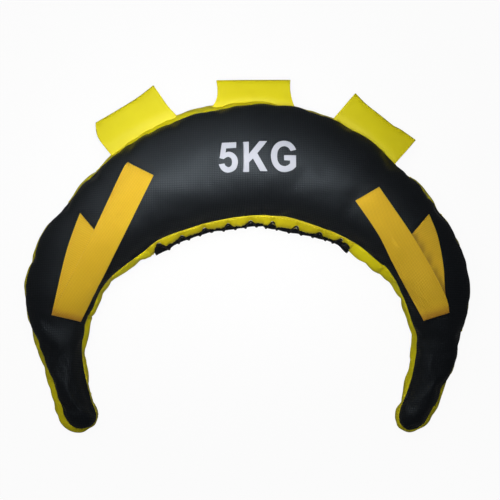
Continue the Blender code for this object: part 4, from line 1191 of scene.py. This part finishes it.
webbing = webbing_material()
joints = {joint["name"]: joint for joint in frame["record"]["behaviour"]["joints"]}
slit_ends = []
for name, (top_a, top_b, low_a, low_b) in LEGS.items():
    rows = []
    top_length = math.dist(top_a[0], top_a[-1]) * 1.31 * MM
    low_length = math.dist(low_a[0], low_a[-1]) * 1.31 * MM
    slit_ends.append((name, (low_a[0], low_b[0])))
    count = math.ceil(top_length / (3.2 * MM))
    inside = []
    for line_a, line_b in ((top_a, top_b), (low_a, low_b)):
        back = []
        for reach in (10.0, 6.0, 2.5):
            ends = []
            for line in (line_a, line_b):
                first, second = Vector(line[0]), Vector(line[1])
                ends.append(tuple(first - (second - first).normalized() * reach / 1.31))
            back.append([seen_on_panel(*(Vector(ends[0]).lerp(Vector(ends[1]), f)), -3.2 * MM) for f in STRAP_ACROSS])
        inside.append(back)
    rows += inside[0]
    for k in range(count + 1):
        t = k / count * 0.995
        out = t * top_length
        emerge = joined(out, 0.0, 5 * MM, 1.0)
        lie = joined(t, 0.30, 0.62, 1.0)
        rise = -2.5 * MM + emerge * (4.2 * MM + lie * 2.3 * MM)
        bow = 1.6 * MM * math.sin(math.pi * min(t / 0.6, 1.0)) ** 2
        rows.append(strap_row(top_a, top_b, t, rise, bow))
    rows = rows[:5] + evened(rows[5:], 8)
    top_last = rows[-1]
    count = math.ceil(low_length / (3.2 * MM))
    under = []
    for k in range(count + 1):
        t = k / count * 0.995
        emerge = joined(t * low_length, 0.0, 5 * MM, 1.0)
        under.append(strap_row(low_a, low_b, t, -2.5 * MM + emerge * 4.0 * MM))
    under = under[:2] + evened(under[2:], 8)
    ahead = (sum(rows[-1], Vector()) - sum(rows[-3], Vector())).normalized()
    low_last = under[-1]
    fold = []
    for k in (1, 2, 3):
        turn = math.pi * k / 4
        row = []
        for high, low in zip(top_last, low_last):
            middle = (high + low) / 2
            half = (high - low) / 2
            row.append(middle + half * math.cos(turn) + ahead * (half.length * 1.1 * math.sin(turn)))
        fold.append(row)
    rows += fold + under[::-1] + inside[1][::-1]
    strap = grid_piece(f"grip_strap_{name}", rows, webbing)
    layer = strap.data.uv_layers.new(name="weave")
    # a second UV map that carries the painted fold shade and the painted edge shadow
    painted_shade_layer = strap.data.uv_layers.new(name="fold")
    n = len(STRAP_ACROSS)
    lengths = [0.0]
    for a, b in zip(rows, rows[1:]):
        lengths.append(lengths[-1] + (b[n // 2] - a[n // 2]).length)
    turn_at = lengths[rows.index(fold[1])]
    first_under = rows.index(fold[2]) + 1
    edge = [polyline(top_b, m / 60) for m in range(61)]
    for loop in strap.data.loops:
        r, c = divmod(loop.vertex_index, n)
        strap.data.uv_layers["weave"].data[loop.index].uv = (STRAP_ACROSS[c] * 38 * MM, lengths[r])
        # how close this point is to the turn of the fold: the share of painted fold shade
        near = joined(abs(lengths[r] - turn_at), 13 * MM, 4 * MM, 1.0)
        # on the right strap, the lower leg is painted darker along the upper leg's edge: a painted shadow
        edge_shadow = 0.0
        if name == "right" and first_under <= r < len(rows) - 4:
            m = len(under) - 1 - (r - first_under)
            a, b = polyline(low_a, m / (len(under) - 1)), polyline(low_b, m / (len(under) - 1))
            spot = a + (b - a) * STRAP_ACROSS[c]
            edge_shadow = 0.85 * joined(min(float(np.hypot(*(spot - e))) for e in edge), 4.5, 0.5, 1.0)
        strap.data.uv_layers["fold"].data[loop.index].uv = (near, edge_shadow)
    solid = strap.modifiers.new("wall", "SOLIDIFY")
    solid.thickness = STRAP_WALL
    solid.offset = 0.0
    smooth = strap.modifiers.new("smooth", "SUBSURF")
    smooth.levels = 1
    applied(strap)
    joint = joints[f"grip_{name}_lift"]
    down = UP.cross(Vector(joint["axis"])).normalized()
    if down.dot(ahead) < 0:
        down = -down
    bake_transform(strap)
    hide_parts(f"grip_{name}_upper_leg", f"grip_{name}_lower_leg", f"grip_{name}_loop")

WELT_WIDTH = 5.2
WELT_HEIGHT = 1.1 * MM
WELT_OVERRUN = 2.5
for side_name, (end_a, end_b) in slit_ends:
    a, b = Vector(end_a), Vector(end_b)
    line = (b - a).normalized()
    away = Vector((line.y, -line.x))
    if away.y > 0:
        away = -away
    count = math.ceil(((b - a).length + 2 * WELT_OVERRUN) / 2.2)
    rows = []
    for m in range(count + 1):
        spot = a - line * WELT_OVERRUN + (b - a + line * 2 * WELT_OVERRUN) * (m / count)
        ends = min(m, count - m) / 2
        full = min(1.0, ends) ** 0.5
        row = []
        for share in (0.0, 0.04, 0.15, 0.4, 0.7, 0.9, 1.0):
            across = spot + away * (0.4 + WELT_WIDTH * share)
            crown = WELT_HEIGHT * full * math.sin(math.pi * min(share + 0.02, 1.0)) ** 0.4
            row.append(seen_on_panel(across.x, across.y, crown - 0.5 * MM))
        rows.append(row)
    if (rows[1][1] - rows[1][0]).cross(rows[2][0] - rows[1][0]).z < 0:
        rows = rows[::-1]
    welt = grid_piece(f"slit_welt_{side_name}", rows, black_skin)
    walled(welt, 1.0 * MM, levels=1)
    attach(welt, "bag")

# Top loops
# Three wide loops of the yellow leatherette, each a sheet folded flat and sewn to the
# outer gusset along both its edges.
LOOP_SIDES = {
    "left": (
        ((111.5, 155.5), (104.5, 147.0), (97.0, 136.0), (95.2, 122.8)),
        ((180.0, 119.0), (172.5, 111.0), (166.9, 104.7), (160.0, 94.4), (153.3, 85.0)),
        ((95.2, 122.8), (115.0, 111.3), (137.6, 97.3), (153.3, 85.0)),
        ((111.5, 155.5), (130.0, 143.5), (155.0, 129.5), (180.0, 119.0)),
    ),
    "middle": (
        ((209.5, 108.5), (213.8, 104.6), (217.0, 97.0), (217.2, 88.0), (216.2, 80.2)),
        ((298.5, 111.0), (294.3, 106.0), (291.8, 98.2), (290.2, 88.9), (290.5, 79.8)),
        ((216.2, 80.2), (240.0, 79.9), (265.0, 79.8), (290.5, 79.8)),
        ((209.5, 108.5), (238.0, 104.5), (266.0, 105.5), (298.5, 111.0)),
    ),
    "right": (
        ((331.0, 121.0), (341.0, 109.5), (349.5, 99.5), (355.5, 92.9)),
        ((393.0, 166.5), (399.0, 159.5), (408.0, 149.5), (416.0, 140.0)),
        ((355.5, 92.9), (365.7, 103.4), (381.0, 115.5), (393.8, 125.7), (400.2, 128.9), (416.0, 140.0)),
        ((331.0, 121.0), (350.0, 132.5), (372.0, 148.5), (393.0, 166.5)),
    ),
}
LOOP_HEIGHT = 38 * MM
LOOP_ROWS = (0.0, 0.05, 0.12, 0.2, 0.3, 0.42, 0.55, 0.68, 0.79, 0.88, 0.94, 0.98, 1.0)
LOOP_COLUMNS = 28
LOOP_FULL = 7.6 * MM
LOOP_ROOT_TOP = 10 * MM
LOOP_ROOT_LOW = 6 * MM


def seen_at(x, y, height):
    """The place at this height that a pixel of the photograph shows."""
    aim = photo_place(x, y) + UP * VIEW_CENTRE.z
    way = aim - camera.location
    return camera.location + way * ((camera.location.z - height) / (camera.location.z - aim.z))


for name, (side_a, side_b, far, base) in LOOP_SIDES.items():
    upper, lower = [], []
    for c in range(LOOP_COLUMNS + 1):
        u = c / LOOP_COLUMNS
        top_row, low_row = [], []
        for v in LOOP_ROWS:
            a, b = np.array(polyline(side_a, v)), np.array(polyline(side_b, v))
            lo, hi = np.array(polyline(base, u)), np.array(polyline(far, u))
            corners = [np.array(p) for p in (base[0], base[-1], far[0], far[-1])]
            mixed = (1 - u) * a + u * b + (1 - v) * lo + v * hi
            mixed -= (1 - u) * (1 - v) * corners[0] + u * (1 - v) * corners[1] + (1 - u) * v * corners[2] + u * v * corners[3]
            full = LOOP_FULL * min(1.0, (v / 0.35) ** 0.8) * (1.0 - v**6) ** 0.5 * (0.82 + 0.18 * math.sin(math.pi * u))
            full += 0.5 * MM * noise.noise(Vector((u * 5, v * 2, 3.0 + len(name)))) * v * (1 - v) * 4
            full = max(full, 0.9 * MM)
            top_row.append(seen_at(*mixed, LOOP_HEIGHT + full + LOOP_ROOT_TOP * (1 - v) ** 2))
            low_row.append(seen_at(*mixed, LOOP_HEIGHT - full - LOOP_ROOT_LOW * (1 - v) ** 2))
        upper.append(top_row)
        lower.append(low_row)
    rows = []
    for top_row, low_row in zip(upper, lower):
        rows.append(top_row + [low_row[-1]] + low_row[-2::-1])
    loop = grid_piece(f"top_loop_sheet_{name}", rows[::-1], yellow_skin)
    solid = loop.modifiers.new("wall", "SOLIDIFY")
    solid.thickness = 1.6 * MM
    solid.offset = -1.0
    smooth = loop.modifiers.new("smooth", "SUBSURF")
    smooth.levels = 1
    applied(loop)
    joint = joints[f"top_loop_{name}_bend"]
    root = Vector(joint["pos_m"])
    out = UP.cross(Vector(joint["axis"])).normalized()
    if out.dot(seen_at(*far[1], LOOP_HEIGHT) - root) < 0:
        out = -out
    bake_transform(loop)
    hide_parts(f"top_loop_{name}")

# Seams
# Yellow thread beside the seams of the gusset and along the hems of the flaps.
STITCH_LENGTH = 3.3 * MM
STITCH_RADIUS = 0.38 * MM
mesh = bpy.data.meshes.new("stitch_pattern")
bm = bmesh.new()
bmesh.ops.create_uvsphere(bm, u_segments=8, v_segments=5, radius=1.0)
for v in bm.verts:
    v.co = Vector((v.co.x * STITCH_LENGTH / 2, v.co.y * STITCH_RADIUS, v.co.z * STITCH_RADIUS))
bm.to_mesh(mesh)
bm.free()
mesh.shade_smooth()
stitch_pattern = bpy.data.objects.new("stitch_pattern", mesh)
bpy.context.scene.collection.objects.link(stitch_pattern)
thread_yellow = plain_material("thread_yellow", (0.70, 0.60, 0.03), 0.6)
spots, facings, alongs = [], [], []
for seam, beside in ((FRONT_END, FRONT_END + 1), (0, LOOP - 1), (BACK_START, BACK_START - 1), (BACK_END, BACK_END + 1)):
    for i in range(4, len(rings) - 4):
        if seam in (0, BACK_END) and placket_first - 4 * MM < inner_run[i] < placket_last + 4 * MM:
            continue
        places = [Vector(skin[(i + step) * LOOP + seam]).lerp(Vector(skin[(i + step) * LOOP + beside]), 0.6) for step in (-1, 0, 1)]
        facing = (Vector(normals[i * LOOP + seam]) + Vector(normals[i * LOOP + beside])).normalized()
        spots.append(places[1])
        facings.append(facing)
        alongs.append((places[2] - places[0]).normalized())
for runs in (eyelet_runs, back_runs):
    for k in range(round((placket_last - placket_first) / (4.4 * MM))):
        run = placket_first + 4.4 * MM * (k + 0.5)
        for v in (0.10, 0.86):
            here = flap_point(run, v, runs)
            along = (flap_point(run + 1.5 * MM, v, runs) - flap_point(run - 1.5 * MM, v, runs)).normalized()
            facing = (flap_point(run, v + 0.08, runs) - flap_point(run, v - 0.08, runs)).cross(along).normalized()
            spots.append(here)
            facings.append(facing if facing.dot(Inside(run).out) > 0 else -facing)
            alongs.append(along)
stitches = scattered("seam_stitches", spots, facings, stitch_pattern, thread_yellow, alongs)
bpy.data.objects.remove(stitch_pattern, do_unlink=True)
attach(stitches, "bag")

# Weight mark
# The weight is printed in plain bold letters on the front panel.
# each letter's outline, in pixels of the photograph: straight edges, and runs of points
# that are joined by a curve
LETTERS = {
    "5": (
        ((221.9, 142.8),), ((236.2, 142.2),), ((236.1, 147.9),), ((226.2, 148.4),),
        ((225.6, 152.5), (228.2, 151.7), (231.2, 152.1), (234.2, 153.8), (236.7, 156.8), (237.9, 161.1), (237.4, 165.3), (235.8, 169.0), (232.7, 171.4), (228.2, 172.6), (224.2, 171.7), (221.2, 169.3), (219.6, 166.5)),
        ((218.8, 164.4),),
        ((224.4, 163.5), (225.5, 165.6), (228.2, 167.2), (230.9, 166.1), (231.9, 163.5), (231.9, 160.5), (230.9, 158.1), (228.2, 156.8), (226.1, 157.5)),
        ((223.6, 159.1),), ((219.6, 158.1),),
    ),
    "K": (
        ((242.8, 141.8),), ((248.8, 141.7),), ((248.9, 153.9),), ((259.4, 141.1),), ((267.1, 141.1),), ((257.3, 153.2),),
        ((267.5, 171.1),), ((260.2, 171.1),), ((253.0, 158.4),), ((249.1, 162.2),), ((249.1, 171.9),), ((242.8, 172.0),),
    ),
    "G": (
        ((296.1, 149.7),),
        ((290.6, 151.1), (288.8, 148.1), (286.1, 146.5), (283.6, 146.2), (280.3, 147.5), (277.9, 150.8), (277.2, 156.2), (277.9, 161.1), (280.3, 164.7), (283.9, 166.1), (287.3, 165.5)),
        ((290.1, 163.5),), ((290.1, 160.5),), ((284.2, 160.2),), ((284.1, 155.2),), ((296.1, 155.2),),
        ((296.1, 166.8), (292.4, 169.9), (288.2, 171.5), (283.9, 172.0), (279.1, 170.8), (274.8, 167.2), (272.1, 162.3), (270.9, 156.2), (271.8, 150.2), (274.8, 144.7), (279.1, 141.7), (283.6, 140.7), (288.2, 141.4), (291.8, 143.5), (294.5, 146.5)),
    ),
}
PRINT_STEP = 1.6
print_white = plain_material("print_white", (0.47, 0.485, 0.55), 0.5)
mark = bpy.data.objects.new("weight_mark", bpy.data.meshes.new("weight_mark"))
bpy.context.scene.collection.objects.link(mark)
bm = bmesh.new()
for letter in LETTERS.values():
    edge = []
    for run, following in zip(letter, letter[1:] + letter[:1]):
        points = list(run) + [following[0]]
        pieces = 3 if len(run) > 1 else 1
        for k in range((len(points) - 1) * pieces):
            edge.append(between(points, k / pieces) if pieces > 1 else np.array(points[k]))
    bm.faces.new([bm.verts.new((p[0], -p[1], 0.0)) for p in edge])
bmesh.ops.triangulate(bm, faces=bm.faces)
for axis in (0, 1):
    low = min(v.co[axis] for v in bm.verts)
    high = max(v.co[axis] for v in bm.verts)
    for k in range(1, int((high - low) / PRINT_STEP) + 1):
        spot, way = Vector((0, 0, 0)), Vector((0, 0, 0))
        spot[axis] = low + k * PRINT_STEP
        way[axis] = 1.0
        bmesh.ops.bisect_plane(bm, geom=bm.verts[:] + bm.edges[:] + bm.faces[:], plane_co=spot, plane_no=way)
bmesh.ops.recalc_face_normals(bm, faces=bm.faces)
for v in bm.verts:
    v.co = seen_on_panel(v.co.x, -v.co.y, 0.25 * MM)
bm.to_mesh(mark.data)
bm.free()
mark.data.materials.append(print_white)
mark.data.shade_smooth()
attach(mark, "bag")

# Filling
# Inside lie three canvas pouches of sand, wrapped in wadding above and below.
FILL_ROOM = 3.4 * MM
skin_tree = BVHTree.FromPolygons([Vector(p) for p in skin], shell_faces)
FILLING = {
    "wadding": (("wadding_lower", "wadding_upper"), "wadding", (0.80, 0.79, 0.75)),
    "sand_pouches": (("sand_pouch_left", "sand_pouch_centre", "sand_pouch_right"), "sand_pouch", (0.50, 0.42, 0.30)),
}
for name, (nodes_in, slot, colour) in FILLING.items():
    cloth_look = leatherette(f"{name}_cloth", colour, tuple(0.9 * c for c in colour), 0.85, grain=0.4)
    for node in nodes_in:
        source = frame["nodes"][node]
        filling = bpy.data.objects.new(f"{node}_soft", source.data.copy())
        filling.data.transform(source.matrix_world)
        filling.data.materials.clear()
        filling.data.materials.append(cloth_look)
        bpy.context.scene.collection.objects.link(filling)
        bm = bmesh.new()
        bm.from_mesh(filling.data)
        bmesh.ops.remove_doubles(bm, verts=bm.verts, dist=0.01 * MM)
        for v in bm.verts:
            for attempt in range(3):
                near, facing, _, away = skin_tree.find_nearest(v.co)
                depth = (near - v.co).dot(facing)
                if depth < FILL_ROOM:
                    v.co -= facing * (FILL_ROOM - depth)
        bm.to_mesh(filling.data)
        bm.free()
        smooth = filling.modifiers.new("smooth", "SUBSURF")
        smooth.levels = 2
        applied(filling)
        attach(filling, "bag")
        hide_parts(node)

bpy.context.view_layer.update()
